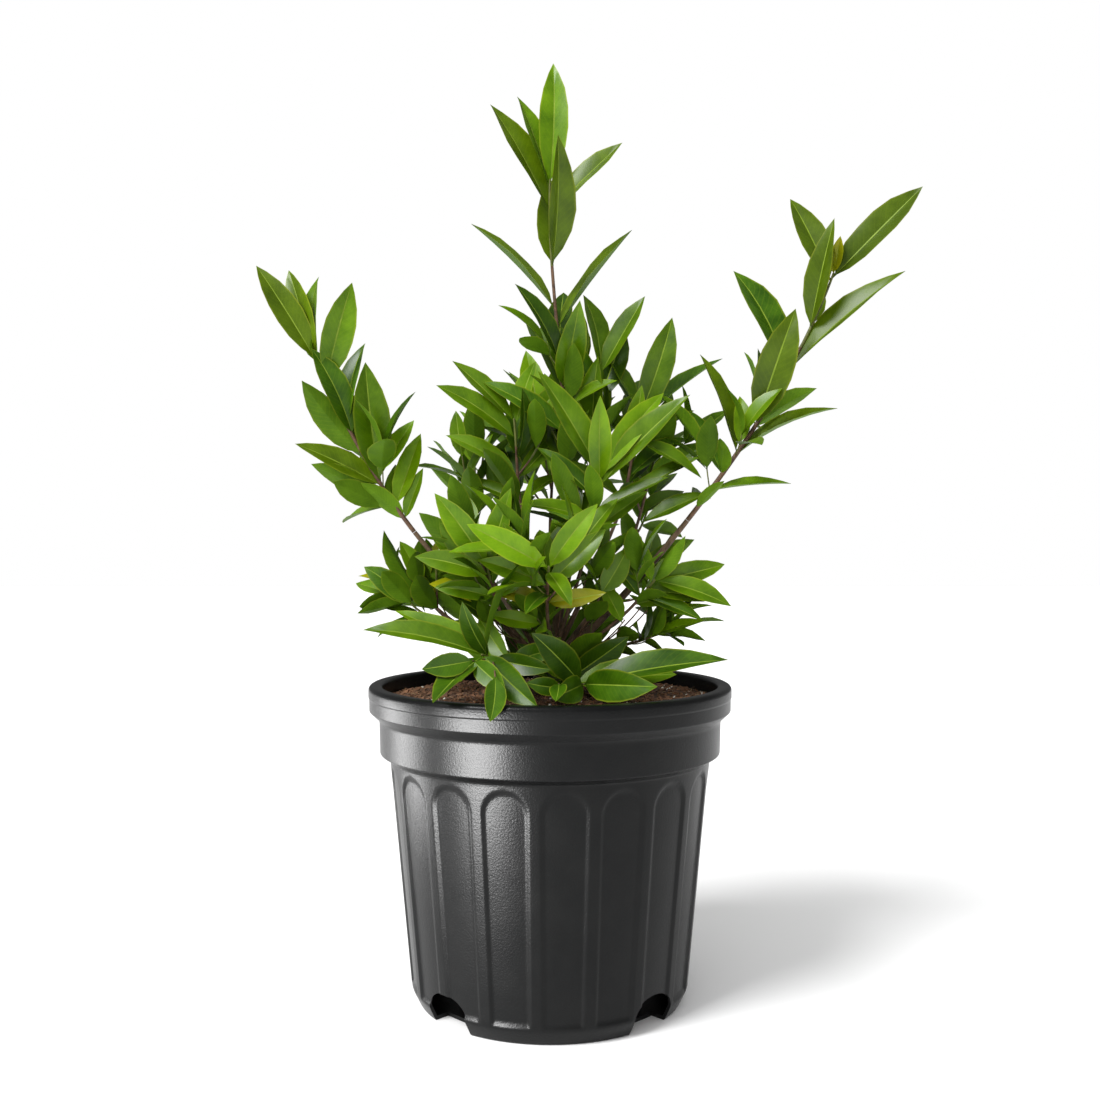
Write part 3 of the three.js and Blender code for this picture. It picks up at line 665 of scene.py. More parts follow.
def limb_curve(foot, foot_direction, tip, tip_direction):
    """The four control points of a limb's bend."""
    foot, tip = np.array(foot, float), np.array(tip, float)
    handle = np.linalg.norm(tip - foot) / 3
    return np.array((foot, foot + foot_direction * handle, tip - tip_direction * handle, tip))


def point_on(curve, along):
    rest = 1 - along
    shares = (rest ** 3, 3 * rest * rest * along, 3 * rest * along * along, along ** 3)
    return sum(share * corner for share, corner in zip(shares, curve))


def run_on(curve, along):
    rest = 1 - along
    shares = (rest * rest, 2 * rest * along, along * along)
    return unit(sum(share * (curve[i + 1] - curve[i]) for i, share in enumerate(shares)))


def frame_at(curve, along):
    """The point, run and two cross directions at a place along a limb."""
    chord = curve[3] - curve[0]
    reference = np.array((1.0, 0.0, 0.0) if abs(chord[0]) < abs(chord[1]) else (0.0, 1.0, 0.0))
    run = run_on(curve, along)
    side = unit(reference - run * reference.dot(run))
    return point_on(curve, along), run, side, np.cross(run, side)


trunk_foot_height = soil_top + limb_gap
trunk_curve = limb_curve((*trunk_foot, trunk_foot_height), up, (*trunk_fork, trunk_top), up)


def trunk_point(height):
    return point_on(trunk_curve, (height - trunk_foot_height) / (trunk_top - trunk_foot_height))


def bark_ridge(turn, length, radius):
    """Long ridges round a trunk: positive on a ridge, negative in a crack."""
    x, y = math.cos(turn) * radius, math.sin(turn) * radius
    coarse = noise.noise(Vector((x / ridge_width, y / ridge_width, length / ridge_length)))
    fine = noise.noise(Vector((x, y, length / fine_ridge_length)))
    return 1 - crack_depth * abs(coarse) + 0.5 * fine - ridge_level


corners = []
trunk_height = trunk_top - trunk_foot_height
for row in range(trunk_rows + 1):
    along = row / trunk_rows
    middle = point_on(trunk_curve, along)
    flare = math.exp(-along * trunk_height / flare_height)
    crown = math.sqrt(max(1 - fork_rounding * along ** 6, 0))
    for side in range(trunk_sides):
        turn = 2 * math.pi * side / trunk_sides
        lobes = 1 + lobe_depth * flare * math.sin(flare_lobes * turn)
        radius = (trunk_radius + flare_radius * flare) * lobes * crown
        radius += bark_relief * bark_ridge(turn, along * trunk_height, trunk_radius) * crown
        corners.append(middle + radius * np.array((math.sin(turn), -math.cos(turn), 0)))
corners = [corner - up * root_depth for corner in corners[:trunk_sides]] + corners
faces = quads(trunk_rows + 1, trunk_sides, closed=True)
faces.append(tuple(reversed(range(trunk_sides))))
faces.append(tuple(range(len(corners) - trunk_sides, len(corners))))
old_bark = mottled(
    "old_bark", (0.018, 0.012, 0.008), (0.115, 0.078, 0.052),
    patch=5, roughness=(0.75, 0.95), grain=0.7, depth=0.35, stretch=(1, 1, 0.3),
)
trunk = mesh_piece("trunk_bark", corners, faces, [old_bark])
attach(trunk, "root")
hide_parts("trunk")

# Boughs. Seventeen woody limbs spread from the fork, each one tapering bend with thinner, redder bark.
# The photo's bark is slimmer than the source's plain limbs, so it takes a share of their radii.
# Each row holds the height where a bough leaves the trunk's middle line, its climb there, its tip, its climb
# at the tip, and the radii of its foot and end.
bough_rows = {
    "centre": (260, 84, (12, 4, 392), 88, 4.8, 2.6),
    "left": (250, 48, (-104, -10, 358), 52, 5.2, 2.6),
    "right": (253, 42, (106, -4, 367), 52, 6, 2.9),
    "upper_left": (258, 74, (-22, 14, 372), 78, 3.4, 2),
    "upper_middle": (259, 78, (30, 16, 400), 80, 3, 1.8),
    "upper_right": (258, 64, (52, 4, 368), 68, 3.6, 2),
    "front_upper": (256, 64, (26, -38, 340), 64, 3.2, 1.9),
    "front_middle": (252, 44, (-2, -50, 300), 44, 3, 1.8),
    "front_left": (249, 48, (-34, -38, 294), 48, 3, 1.8),
    "front_right": (250, 38, (60, -28, 300), 44, 3, 1.8),
    "back": (256, 60, (0, 56, 346), 60, 3.6, 2),
    "back_left": (252, 52, (-54, 34, 334), 60, 3.4, 2),
    "back_right": (253, 50, (60, 38, 336), 60, 3.4, 2),
    "low_left": (244, 30, (-66, 0, 284), 24, 3, 1.8),
    "low_right": (246, 24, (66, 6, 272), 14, 3, 1.8),
    "low_back_left": (247, 34, (-46, 56, 290), 30, 3, 1.8),
    "low_back_right": (248, 34, (50, 58, 292), 30, 3, 1.8),
}
bough_words = ("height", "climb", "tip", "end_climb", "foot", "end")
boughs = {name: dict(zip(bough_words, row)) for name, row in bough_rows.items()}
bough_steps = 5
bough_points = 34
bark_share = 0.66
young_bark = mottled(
    "young_bark", (0.045, 0.027, 0.014), (0.17, 0.105, 0.06),
    patch=6, roughness=(0.6, 0.85), grain=0.6, depth=0.25, stretch=(1, 1, 0.35),
)

skin_tree, skin_in = new_tree("bark_skin", Sides="Int", Relief="Float", Crack="Float", Finish="Material")


def named(tree, name, kind="FLOAT"):
    """Reads an attribute that the mesh carries."""
    return wire(tree, "GeometryNodeInputNamedAttribute", {"Name": name}, "Attribute", data_type=kind)


def stored(geometry, name, measure):
    """A curve with its own measure kept on its points."""
    value = wire(skin_tree, "GeometryNodeSplineParameter", result=measure)
    values = {"Geometry": geometry, "Name": name, "Value": value}
    return wire(skin_tree, "GeometryNodeStoreNamedAttribute", values, data_type="FLOAT", domain="POINT")


centres = wire(skin_tree, "GeometryNodeMeshToCurve", {"Mesh": skin_in["Geometry"]})
profile = wire(skin_tree, "GeometryNodeCurvePrimitiveCircle", {"Resolution": skin_in["Sides"], "Radius": 1.0})
thickness = named(skin_tree, "thickness")
tube = wire(skin_tree, "GeometryNodeCurveToMesh", {
    "Curve": stored(centres, "bark_length", "Length"),
    "Profile Curve": stored(profile, "bark_turn", "Factor"), "Scale": thickness, "Fill Caps": True,
})
bark_turn = sums(skin_tree, "MULTIPLY", named(skin_tree, "bark_turn"), 2 * math.pi)
girth = sums(skin_tree, "DIVIDE", thickness, skin_in["Crack"])
crack_length = sums(skin_tree, "MULTIPLY", skin_in["Crack"], 4.0)
bark_place = wire(skin_tree, "ShaderNodeCombineXYZ", {
    "X": sums(skin_tree, "MULTIPLY", sums(skin_tree, "COSINE", bark_turn), girth),
    "Y": sums(skin_tree, "MULTIPLY", sums(skin_tree, "SINE", bark_turn), girth),
    "Z": sums(skin_tree, "DIVIDE", named(skin_tree, "bark_length"), crack_length),
})
cracked = {"Vector": bark_place, "Scale": 1.0, "Detail": 3.0, "Roughness": 0.6}
ridges = wire(skin_tree, "ShaderNodeTexNoise", cracked)
lift = sums(skin_tree, "MULTIPLY", sums(skin_tree, "SUBTRACT", ridges, 0.5), skin_in["Relief"])
outward = wire(skin_tree, "GeometryNodeInputNormal")
raised = wire(skin_tree, "ShaderNodeVectorMath", {0: outward, "Scale": lift}, operation="SCALE")
rough_tube = wire(skin_tree, "GeometryNodeSetPosition", {"Geometry": tube, "Offset": raised})
smoothed = wire(skin_tree, "GeometryNodeSetShadeSmooth", {"Geometry": rough_tube, "Shade Smooth": True})
close_tree(skin_tree, smoothed, skin_in["Finish"])


def carry(mesh, name, kind, values):
    """Gives the points of a mesh an attribute."""
    field = "vector" if kind == "FLOAT_VECTOR" else "value"
    mesh.attributes.new(name, kind, "POINT").data.foreach_set(field, values)


def limb_pieces(name, lines, sides, relief, crack, finish):
    """One joined mesh of round limbs. Each line is a list of (point, radius)."""
    points, links, radii = [], [], []
    for line in lines:
        links += [(len(points) + step, len(points) + step + 1) for step in range(len(line) - 1)]
        points += [tuple(point * mm) for point, _ in line]
        radii += [radius * mm for _, radius in line]
    mesh = bpy.data.meshes.new(name)
    mesh.from_pydata(points, links, [])
    carry(mesh, "thickness", "FLOAT", radii)
    source = in_scene(name + "_lines", mesh)
    piece = grown(source, skin_tree, name, Sides=sides, Relief=relief * mm, Crack=crack * mm, Finish=finish)
    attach(piece, "root")
    return piece


def bent_limb(foot, climb, tip, end_climb):
    """A limb's bend from its climb at the foot and at the tip."""
    tip = np.array(tip, float)
    heading = heading_of(tip - foot)
    return limb_curve(foot, direction(heading, climb), tip, direction(heading, end_climb))


bough_lines = []
for bough in boughs.values():
    bough["curve"] = bent_limb(trunk_point(bough["height"]), bough["climb"], bough["tip"], bough["end_climb"])
    bough_lines.append([
        (point_on(bough["curve"], step / bough_points),
         bark_share * (bough["foot"] + (bough["end"] - bough["foot"]) * step / bough_points))
        for step in range(bough_points + 1)
    ])
bough_skin = limb_pieces("bough_bark", bough_lines, 20, 0.9, 1.6, young_bark)
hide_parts(*["bough_" + name for name in boughs])

# Foliage. Each mass is a stem that carries on from its bough, with side shoots and leaves in opposite pairs.
# A listed leaf has its place along the stem, heading, rise, length and roll, and a narrow one its width as
# a share of its length. Where none are listed, or only the first, the others grow from a seed.
# tones are the greens that the mass deals out to its sprays.
masses = {
    "left": dict(
        tip=(-179, -20, 491), end_climb=66, reach=95, ratio=0.31, spurs=3, seed=51,
        tones="olive mid deep mid olive fresh mid turning",
        leaves=[
            (0.98, 170, 57, 88, -30, 0.24), (0.98, 140, 66, 80, 0, 0.26), (0.95, 100, 70, 78, 0),
            (0.86, -15, 74, 78, 110), (0.62, 50, 75, 68, 30), (0.57, -165, 64, 72, 180),
            (0.46, -155, 50, 72, 60), (0.3, -140, 82, 92, 110), (0.28, 125, 80, 80, -40),
            (0.28, -175, 26, 73, -45), (0.16, 25, 70, 60, 60), (0.14, 100, 45, 52, 0),
            (0.08, -20, 68, 42, 60), (0.07, -160, 38, 46, 20), (1, 60, 80, 16, 0), (1, -120, 76, 14, 0),
        ],
    ),
    "right": dict(
        tip=(217, -12, 556), end_climb=70, reach=112, ratio=0.31, spurs=3, seed=52,
        tones="olive olive olive deep olive deep mid mid turning",
        leaves=[
            (0.98, -10, 45, 95, 66, 0.28), (0.97, 145, 64, 76, -60), (0.79, -40, 76, 84, -158, 0.25),
            (0.8, 80, 55, 60, 0), (0.63, -5, 40, 112, 49, 0.25), (0.41, -30, 70, 92, -120),
            (0.62, 150, 62, 94, -50), (0.42, 80, 62, 70, 0), (0.28, -3, 25, 86, 20, 0.24),
            (0.29, 170, 70, 82, -30), (0.2, -100, 35, 44, 0), (0.2, 150, 62, 58, -45),
            (0.13, -5, 5, 62, 20), (0.12, 172, -24, 56, -50), (0.05, -35, 35, 36, 30), (0.1, 95, 5, 50, 0),
            (1, -62, 74, 28, 200, 0.34), (1, -100, 66, 20, 190, 0.34),
        ],
    ),
    "centre": dict(
        tip=(0, 0, 631), end_climb=92, reach=100, ratio=0.29, spurs=4, seed=53,
        tones="mid olive olive olive deep mid deep mid",
        leaves=[
            (0.98, 75, 84, 99, 0, 0.23), (0.97, 150, 69, 82, -20, 0.24), (0.9, 170, 61, 97, -35),
            (0.89, -2, 44, 78, 50), (0.72, -82, 71, 97, 205), (0.72, 90, 66, 84, 0),
            (0.58, -175, 45, 92, -20), (0.52, 5, 53, 97, 12), (0.45, 85, 50, 70, 0),
            (0.4, -145, 54, 72, -75), (0.33, -75, 50, 76, 165), (0.31, 128, 52, 79, 0),
            (0.18, 176, 32, 76, -50), (0.17, 70, 46, 76, 0), (0.06, -80, 44, 70, 0), (0.05, 110, 44, 74, 0),
        ],
    ),
    "upper_left": dict(
        tip=(-28, 5, 446), end_climb=80, reach=82, ratio=0.27, shoots=1, shoot_length=46, seed=21,
        tones="mid mid deep mid deep mid",
        leaves=[
            (0.98, 168, 44, 70, -25), (0.8, -170, 33, 74, -50), (0.92, 60, 60, 64, 0),
            (0.78, 10, 50, 66, 40), (0.6, 95, 50, 66, 0), (0.58, -80, 62, 60, 205), (0.4, 175, 30, 66, -40),
            (0.38, 20, 42, 60, 40), (0.2, 110, 46, 64, 0), (0.14, -120, 36, 66, 0),
            (0.12, 150, 20, 56, -30), (0.1, 40, 30, 50, 30),
        ],
    ),
    "upper_middle": dict(
        tip=(40, 4, 484), end_climb=84, reach=88, ratio=0.32, spurs=4, seed=54,
        tones="mid deep mid deep",
        leaves=[
            (0.98, -5, 60, 68, 40), (0.97, 130, 72, 68, 0), (0.7, 50, 60, 70, 20),
            (0.68, -160, 62, 68, -30), (0.3, -85, 64, 74, 160), (0.36, 90, 58, 74, 0),
            (0.12, -40, 52, 68, 10), (0.1, 160, 48, 66, 0),
        ],
    ),
    "upper_right": dict(
        tip=(71, 12, 451), end_climb=74, reach=86, ratio=0.29, shoots=1, shoot_length=46, seed=42,
        tones="mid deep mid mid deep mid deep",
        leaves=[
            (0.98, -20, 71, 80, 165), (0.97, 150, 60, 62, -30), (0.9, 4, 38, 85, 30),
            (0.86, 120, 50, 66, 0), (0.76, -28, -30, 64, 35), (0.7, 90, 46, 68, 0),
            (0.55, -75, 66, 62, 165), (0.5, 150, 20, 56, -30), (0.4, 30, 30, 66, 30), (0.32, 80, 30, 56, 0),
            (0.2, -8, 28, 68, 40), (0.18, -170, 34, 56, -40), (0.08, 60, 30, 54, 0), (0.05, -80, 30, 46, 0),
        ],
    ),
    "front_upper": dict(
        tip=(38, -48, 400), end_climb=76, reach=96, ratio=0.25, seed=23, spurs=1, bough_spurs=3,
        tones="mid fresh deep mid mid deep mid",
        leaves=[
            (0.98, -168, 58, 90, -55), (0.86, -8, 45, 94, 45), (0.9, -92, 64, 68, 218),
            (0.98, 8, 52, 80, 35), (0.84, 100, 60, 66, 0), (0.7, 160, 40, 62, -35), (0.55, -10, 25, 60, 35),
            (0.5, -96, 38, 58, 0), (0.44, -162, 12, 58, -40), (0.3, 20, 34, 56, 30),
            (0.28, 130, 20, 54, -20), (0.12, -60, 20, 48, 0), (0.1, -130, 24, 46, 0),
        ],
    ),
    "front_middle": dict(
        tip=(-1, -80, 333), end_climb=58, length=62, ratio=0.3, shoots=2, shoot_length=40,
        reach=78, seed=24, spurs=2, shoot_spurs=1, bough_spurs=2,
        tones="fresh mid mid deep turning",
        leaves=[
            (0.98, -172, 28, 66, -45), (0.97, -14, 52, 58, 45), (0.9, -68, -28, 48, 0),
            (0.85, 100, 40, 50, 0), (0.62, 10, 44, 58, 30), (0.6, 175, 20, 54, -35),
            (0.4, -110, -15, 46, 0), (0.38, 60, 30, 46, 0), (0.2, -20, 10, 46, 30),
            (0.18, 165, 12, 46, -30),
        ],
    ),
    "front_left": dict(
        tip=(-46, -60, 334), end_climb=66, length=60, ratio=0.31, shoots=2, shoot_length=44,
        reach=78, seed=25, tones="mid fresh deep mid", spurs=2, shoot_spurs=1, bough_spurs=2,
        leaves=[
            (0.96, -165, 54, 66, -60), (0.98, -30, 70, 60, 40), (0.82, -178, 14, 56, -50),
            (0.8, -20, 36, 46, 30), (0.6, 90, 40, 50, 0), (0.55, -130, 30, 48, -20),
            (0.4, 178, 10, 46, -40), (0.38, 10, 40, 46, 30), (0.2, -100, 10, 44, 0), (0.15, 120, 30, 44, 0),
        ],
    ),
    "front_right": dict(
        tip=(78, -38, 322), end_climb=48, length=52, reach=64, ratio=0.29, seed=26, spurs=1, bough_spurs=1,
        tones="mid fresh mid deep mid",
        leaves=[
            (0.98, -10, -18, 60, 40), (0.98, 15, 12, 58, 30), (0.9, -40, 50, 46, 0),
            (0.88, 140, 60, 46, -30), (0.66, -12, -6, 56, 35), (0.6, 60, 30, 50, 20),
            (0.45, -20, -20, 50, 30), (0.4, 170, 50, 44, -40), (0.2, -60, 10, 44, 0),
            (0.15, 30, 10, 46, 20),
        ],
    ),
    "back": dict(
        tip=(4, 84, 440), end_climb=72, spacing=22, length=76, ratio=0.31, shoots=4, shoot_length=58,
        reach=96, seed=27, spurs=1, bough_spurs=1,
    ),
    "back_left": dict(
        tip=(-62, 50, 414), end_climb=72, spacing=20, length=56, ratio=0.34, shoots=4, shoot_length=46,
        reach=78, seed=28,
    ),
    "back_right": dict(
        tip=(90, 46, 434), end_climb=70, spacing=20, length=68, ratio=0.31, shoots=3, shoot_length=50,
        reach=86, seed=29,
    ),
    "low_left": dict(
        tip=(-100, 0, 310), end_climb=40, spacing=16, length=54, ratio=0.38, shoots=4, shoot_length=36,
        reach=62, seed=30, tones="mid deep turning mid", spurs=3, shoot_spurs=1, bough_spurs=3,
    ),
    "low_right": dict(
        tip=(92, 10, 282), end_climb=26, spacing=18, length=52, ratio=0.3, shoots=2, shoot_length=32,
        reach=70, seed=31, tones="mid deep mid fresh", spurs=2, bough_spurs=2,
        first_leaves=[(0.08, 12, 56, 62, 45), (0.1, -100, 20, 44, 0)],
    ),
    "low_back_left": dict(
        tip=(-74, 88, 322), end_climb=44, spacing=18, length=58, ratio=0.38, shoots=3, shoot_length=40,
        reach=76, seed=36, spurs=2, bough_spurs=1,
    ),
    "low_back_right": dict(
        tip=(78, 90, 326), end_climb=44, spacing=18, length=58, ratio=0.34, shoots=2, shoot_length=40,
        reach=76, seed=37, spurs=1, bough_spurs=1,
    ),
    "low_front_left": dict(
        height=244, climb=24, foot=2.4, tip=(-48, -86, 271), end_climb=16, reach=110, ratio=0.33,
        spurs=2, seed=55, tones="deep deep mid deep mid deep",
        leaves=[
            (0.98, -118, -22, 70, 0), (0.98, -64, -28, 66, 0), (0.95, 25, 70, 70, -60),
            (0.9, -135, 58, 48, 0), (0.88, 178, 12, 94, 40, 0.22), (0.8, 168, 24, 84, 40, 0.22),
            (0.84, -20, -8, 46, 0), (0.6, -30, 16, 48, 0), (0.6, 130, 40, 50, 0), (0.4, 176, 20, 50, 0),
            (0.38, -40, 34, 44, 0),
        ],
    ),
    "low_front_right": dict(
        height=241, climb=12, foot=2.4, tip=(24, -84, 250), end_climb=8, reach=120, ratio=0.35,
        spurs=2, seed=56, tones="deep deep mid deep",
        leaves=[
            (0.98, -42, 3, 66, 10), (0.98, -115, -4, 54, 0), (0.95, -5, 10, 105, -50, 0.24),
            (0.94, -134, 38, 64, 0), (0.72, 0, 5, 76, -40), (0.7, 130, 30, 46, 0), (0.5, 10, 34, 60, 0),
            (0.4, 150, 40, 44, 0),
        ],
    ),
    "low_back": dict(
        height=243, climb=22, foot=2.4, tip=(-4, 92, 262), end_climb=12, spacing=18, length=58, ratio=0.4,
        shoots=2, shoot_length=34, reach=74, seed=34, spurs=3,
    ),
}
usual_tones = "mid mid deep fresh mid"
usual_spacing = 19
usual_length = 72

# Fine twigs that stand out singly: some that hang over the rim in front, and thin ones from the fork, some
# of them bare. Each leaves its mass's stem at a place along it, or the trunk at a height.
fine_twigs = [
    dict(mass="low_front_left", along=0.9, tip=(-53, -108, 269), tone="deep", leaves=[
        (1, -165, -8, 36, -20), (0.96, -40, -30, 34, 0),
    ]),
    dict(mass="low_front_left", along=0.86, tip=(-37, -126, 260), tone="deep", leaves=[(1, -98, -58, 33, 0)]),
    dict(mass="low_front_right", along=0.7, tip=(6, -116, 254), tone="deep", leaves=[
        (1, -95, -20, 26, 0), (0.8, -150, 10, 28, 0),
    ]),
    dict(mass="front_right", height=244, tip=(38, -40, 312), tone="mid", leaves=[
        (1, 0, 60, 40, 30), (1, -140, 50, 38, 0), (0.7, -60, 30, 34, 0),
    ]),
    dict(mass="front_right", height=242, tip=(56, -34, 292), tone="mid", leaves=[(0.96, 160, 60, 36, -30)]),
    dict(mass="front_left", height=246, tip=(-22, -34, 318), tone="mid", leaves=[
        (1, 175, 62, 42, -40), (0.7, -100, 20, 34, 0),
    ]),
    dict(mass="low_left", height=242, tip=(-50, -26, 304), tone="turning", leaves=[(1, -170, 20, 44, -30)]),
    dict(mass="low_right", height=243, tip=(74, -16, 298), tone="mid", leaves=[
        (1, -20, 34, 36, 10), (0.66, -60, 10, 32, 0),
    ]),
    dict(mass="front_right", height=241, tip=(30, -24, 332)),
    dict(mass="front_right", height=240, tip=(48, -14, 322)),
    dict(mass="front_right", height=240, tip=(68, -24, 300)),
    dict(mass="front_middle", height=243, tip=(12, -30, 322)),
    dict(mass="front_left", height=242, tip=(-32, -20, 320)),
    dict(mass="front_left", height=241, tip=(-46, -14, 306)),
]
fine_twig_radius = 1.1
fine_twig_ratio = 0.46
fine_twig_lift = 0.4

# The growth rule: leaves stand in opposite pairs, each pair a quarter turn on from the last, and their
# spread from the stem falls from its foot to its tip. A shoot or leaf that would touch another is skipped.
pair_turn = 90
fewest_pairs = 2
turn_jitter = 14
bare_foot = 0.18
last_pair = 0.985
spread_low = 66
spread_high = 26
spread_jitter = 9
length_jitter = 0.16
length_at_foot = 0.86
roll_jitter = 22
aim_tries = (0, 24, -24, 48, -48)
leaf_bow = 0.045
leaf_fold = 0.3
leaf_stations = (0, 0.3, 0.64, 1)
leaf_widths = (0, 0.94, 0.86, 0)
leaf_root = 0.06
leaf_middle = 0.46
leaf_samples = (0.3, 0.5, 0.7, 0.85, 1)
leaf_span = 0.55
shoot_radius = 1.3
shoot_spread = 46
shoot_lift = 0.55
shoot_leaf_scale = 0.82
shoot_turn = 137.5
shoot_turn_jitter = 30
shoot_tries = (0, 30, -30, 60, -60, 90)
first_shoot = 0.12
shoot_range = 0.68
shoot_reach_jitter = 0.12
shoot_reach_at_foot = 1.15
shoot_reach_loss = 0.4
stem_steps = 5
shoot_steps = 3
stem_tip_radius = 0.9
clearance = 1.2
near_limb = 20
pot_clearance = 2
soil_clearance = 1
length_steps = 200

# Finer twigs, which only this script grows: each is a short spur with up to two pairs of small leaves
spur_length = (16, 30)
spur_radius = 0.8
spur_tip_radius = 0.5
spur_clearance = 0.7
spur_leaf_scale = (0.62, 0.85)
spur_leaf_width = 1.12
spur_turn = 60
spur_turn_jitter = 40
spur_pairs = 2
first_spur = 0.1
last_spur = 0.9
last_listed_spur = 0.4
last_bough_spur = 0.95
fewest_spur_leaves = 2


def seeded_random(seed):
    """Numbers between 0 and 1 from a seed."""
    full = 0xFFFFFFFF
    state = seed & full

    def draw():
        nonlocal state
        state = (state + 0x6D2B79F5) & full
        mixed = ((state ^ (state >> 15)) * (state | 1)) & full
        mixed ^= (mixed + (((mixed ^ (mixed >> 7)) * (mixed | 61)) & full)) & full
        return ((mixed ^ (mixed >> 14)) & full) / (full + 1)

    return draw


def jitter(random, span):
    return (2 * random() - 1) * span


def near_pot(points):
    """True if any point is too near the pot or the soil."""
    radius = np.hypot(points[:, 0], points[:, 1])
    inside = radius < lip_inside - 1
    low = points[:, 2] < np.where(inside, soil_top + soil_heap + soil_clearance, pot_height + pot_clearance)
    return bool(np.any(low & (inside | (radius < rim_radius + pot_clearance))))


limbs = []
leaves = []
gathered_limbs = {}


def all_limbs():
    """The stretches of every limb as arrays: starts, ends, radii and the number of the limb."""
    if gathered_limbs.get("count") != len(limbs):
        owner = [np.full(len(limb["radii"]), number) for number, limb in enumerate(limbs)]
        gathered_limbs.update(count=len(limbs), owner=np.concatenate(owner))
        for key in ("starts", "ends", "radii"):
            gathered_limbs[key] = np.concatenate([limb[key] for limb in limbs])
    return (gathered_limbs[key] for key in ("starts", "ends", "radii", "owner"))


def number_of(wanted):
    return next(number for number, limb in enumerate(limbs) if limb is wanted)


def make_limb(curve, foot, tip, steps, mass=None):
    """A limb as the growth rule sees it: short straight stretches, each with a radius."""
    ends = np.array([point_on(curve, step / steps) for step in range(steps + 1)])
    radii = np.array([foot + (tip - foot) * (step + 0.5) / steps for step in range(steps)])
    return dict(curve=curve, foot=foot, tip=tip, starts=ends[:-1], ends=ends[1:], radii=radii, mass=mass)


def distances(points, starts, ends):
    """The distance of every point from every stretch."""
    run = ends - starts
    offset = points[:, None] - starts
    share = np.clip((offset * run).sum(2) / (run * run).sum(1), 0, 1)
    return np.linalg.norm(offset - share[..., None] * run, axis=2)


def crossings(starts, ends, triangles):
    """True if any line meets any triangle."""
    runs = ends - starts
    one = triangles[:, 1] - triangles[:, 0]
    two = triangles[:, 2] - triangles[:, 0]
    normal = np.cross(one, two)
    against = runs @ normal.T
    sign = np.sign(against)
    steep = np.abs(against)
    offset = starts[:, None] - triangles[None, :, 0]
    first = sign * (runs[:, None] * np.cross(offset, two)).sum(2)
    second = sign * (runs[:, None] * np.cross(one, offset)).sum(2)
    depth = -sign * (offset * normal).sum(2)
    meets = (steep > 0) & (first >= 0) & (second >= 0) & (first + second <= steep)
    return bool(np.any(meets & (depth >= 0) & (depth <= steep)))


def leaf_point(leaf, along, across):
    width = leaf["width"] / 2 * np.interp(along, leaf_stations, leaf_widths) * across
    lift = leaf_fold * abs(width) + 4 * leaf_bow * leaf["length"] * along * (1 - along)
    return leaf["root"] + leaf["run"] * leaf["length"] * along + leaf["face"] * lift + leaf["side"] * width


def leaf_triangles(leaf):
    root, middle, tip = (leaf_point(leaf, along, 0) for along in (leaf_root, leaf_middle, 1))
    triangles = []
    for across in (-1, 1):
        edge = leaf_point(leaf, leaf_middle, across)
        triangles += [(root, edge, middle), (edge, tip, middle)]
    return np.array(triangles)


def edges_of(triangles):
    """The start and end of every edge of some triangles."""
    return triangles.reshape(-1, 3), triangles[:, (1, 2, 0)].reshape(-1, 3)


def leaves_cross(leaf):
    """True if a new leaf would cut through another."""
    if not leaves:
        return False
    centres = np.array([other["centre"] for other in leaves])
    lengths = np.array([other["length"] for other in leaves])
    apart = np.linalg.norm(centres - leaf["centre"], axis=1)
    near = [leaves[number] for number in np.flatnonzero(apart <= leaf_span * (leaf["length"] + lengths))]
    return any(
        crossings(*edges_of(leaf["triangles"]), other["triangles"])
        or crossings(*edges_of(other["triangles"]), leaf["triangles"])
        for other in near
    )


def samples_of(leaf, acrosses):
    return np.array([leaf_point(leaf, along, across) for along in leaf_samples for across in acrosses])


def leaf_meets_limbs(leaf, space):
    starts, ends, radii, owner = all_limbs()
    near = np.linalg.norm((starts + ends) / 2 - leaf["centre"], axis=1) < leaf["length"] + near_limb
    starts, ends, radii, owner = starts[near], ends[near], radii[near], owner[near]
    if np.any(distances(samples_of(leaf, (-1, 0, 1)), starts, ends) < radii + space):
        return True
    others = owner != number_of(leaf["limb"])
    return crossings(starts[others], ends[others], leaf["triangles"])


for bough in boughs.values():
    limbs.append(make_limb(bough["curve"], bough["foot"], bough["end"], bough_steps))


def stem_of(name, mass):
    """The foot radius and bend of a mass's stem, which leaves the trunk or carries on from its bough."""
    if name not in boughs:
        foot = trunk_point(mass["height"])
        return mass["foot"], bent_limb(foot, mass["climb"], mass["tip"], mass["end_climb"])
    bough, tip = boughs[name], np.array(mass["tip"], float)
    run = run_on(bough["curve"], 1)
    foot = np.array(bough["tip"], float) + run * limb_gap
    return bough["end"], limb_curve(foot, run, tip, direction(heading_of(tip - foot), mass["end_climb"]))


for name, mass in masses.items():
    foot, curve = stem_of(name, mass)
    mass["stem"] = make_limb(curve, foot, stem_tip_radius, stem_steps, mass)
    mass.update(stems=[mass["stem"]], spur_stems=[], fine_stems=[])
    limbs.append(mass["stem"])


def shoot_curve(stem, along, turn, reach):
    point, run, side, front = frame_at(stem["curve"], along)
    turn, spread = math.radians(turn), math.radians(shoot_spread)
    out = side * math.cos(turn) + front * math.sin(turn)
    leave = run * math.cos(spread) + out * math.sin(spread)
    arrive = unit(leave * (1 - shoot_lift) + up * shoot_lift)
    return limb_curve(point, leave, point + (leave + arrive) * reach / 2, arrive)


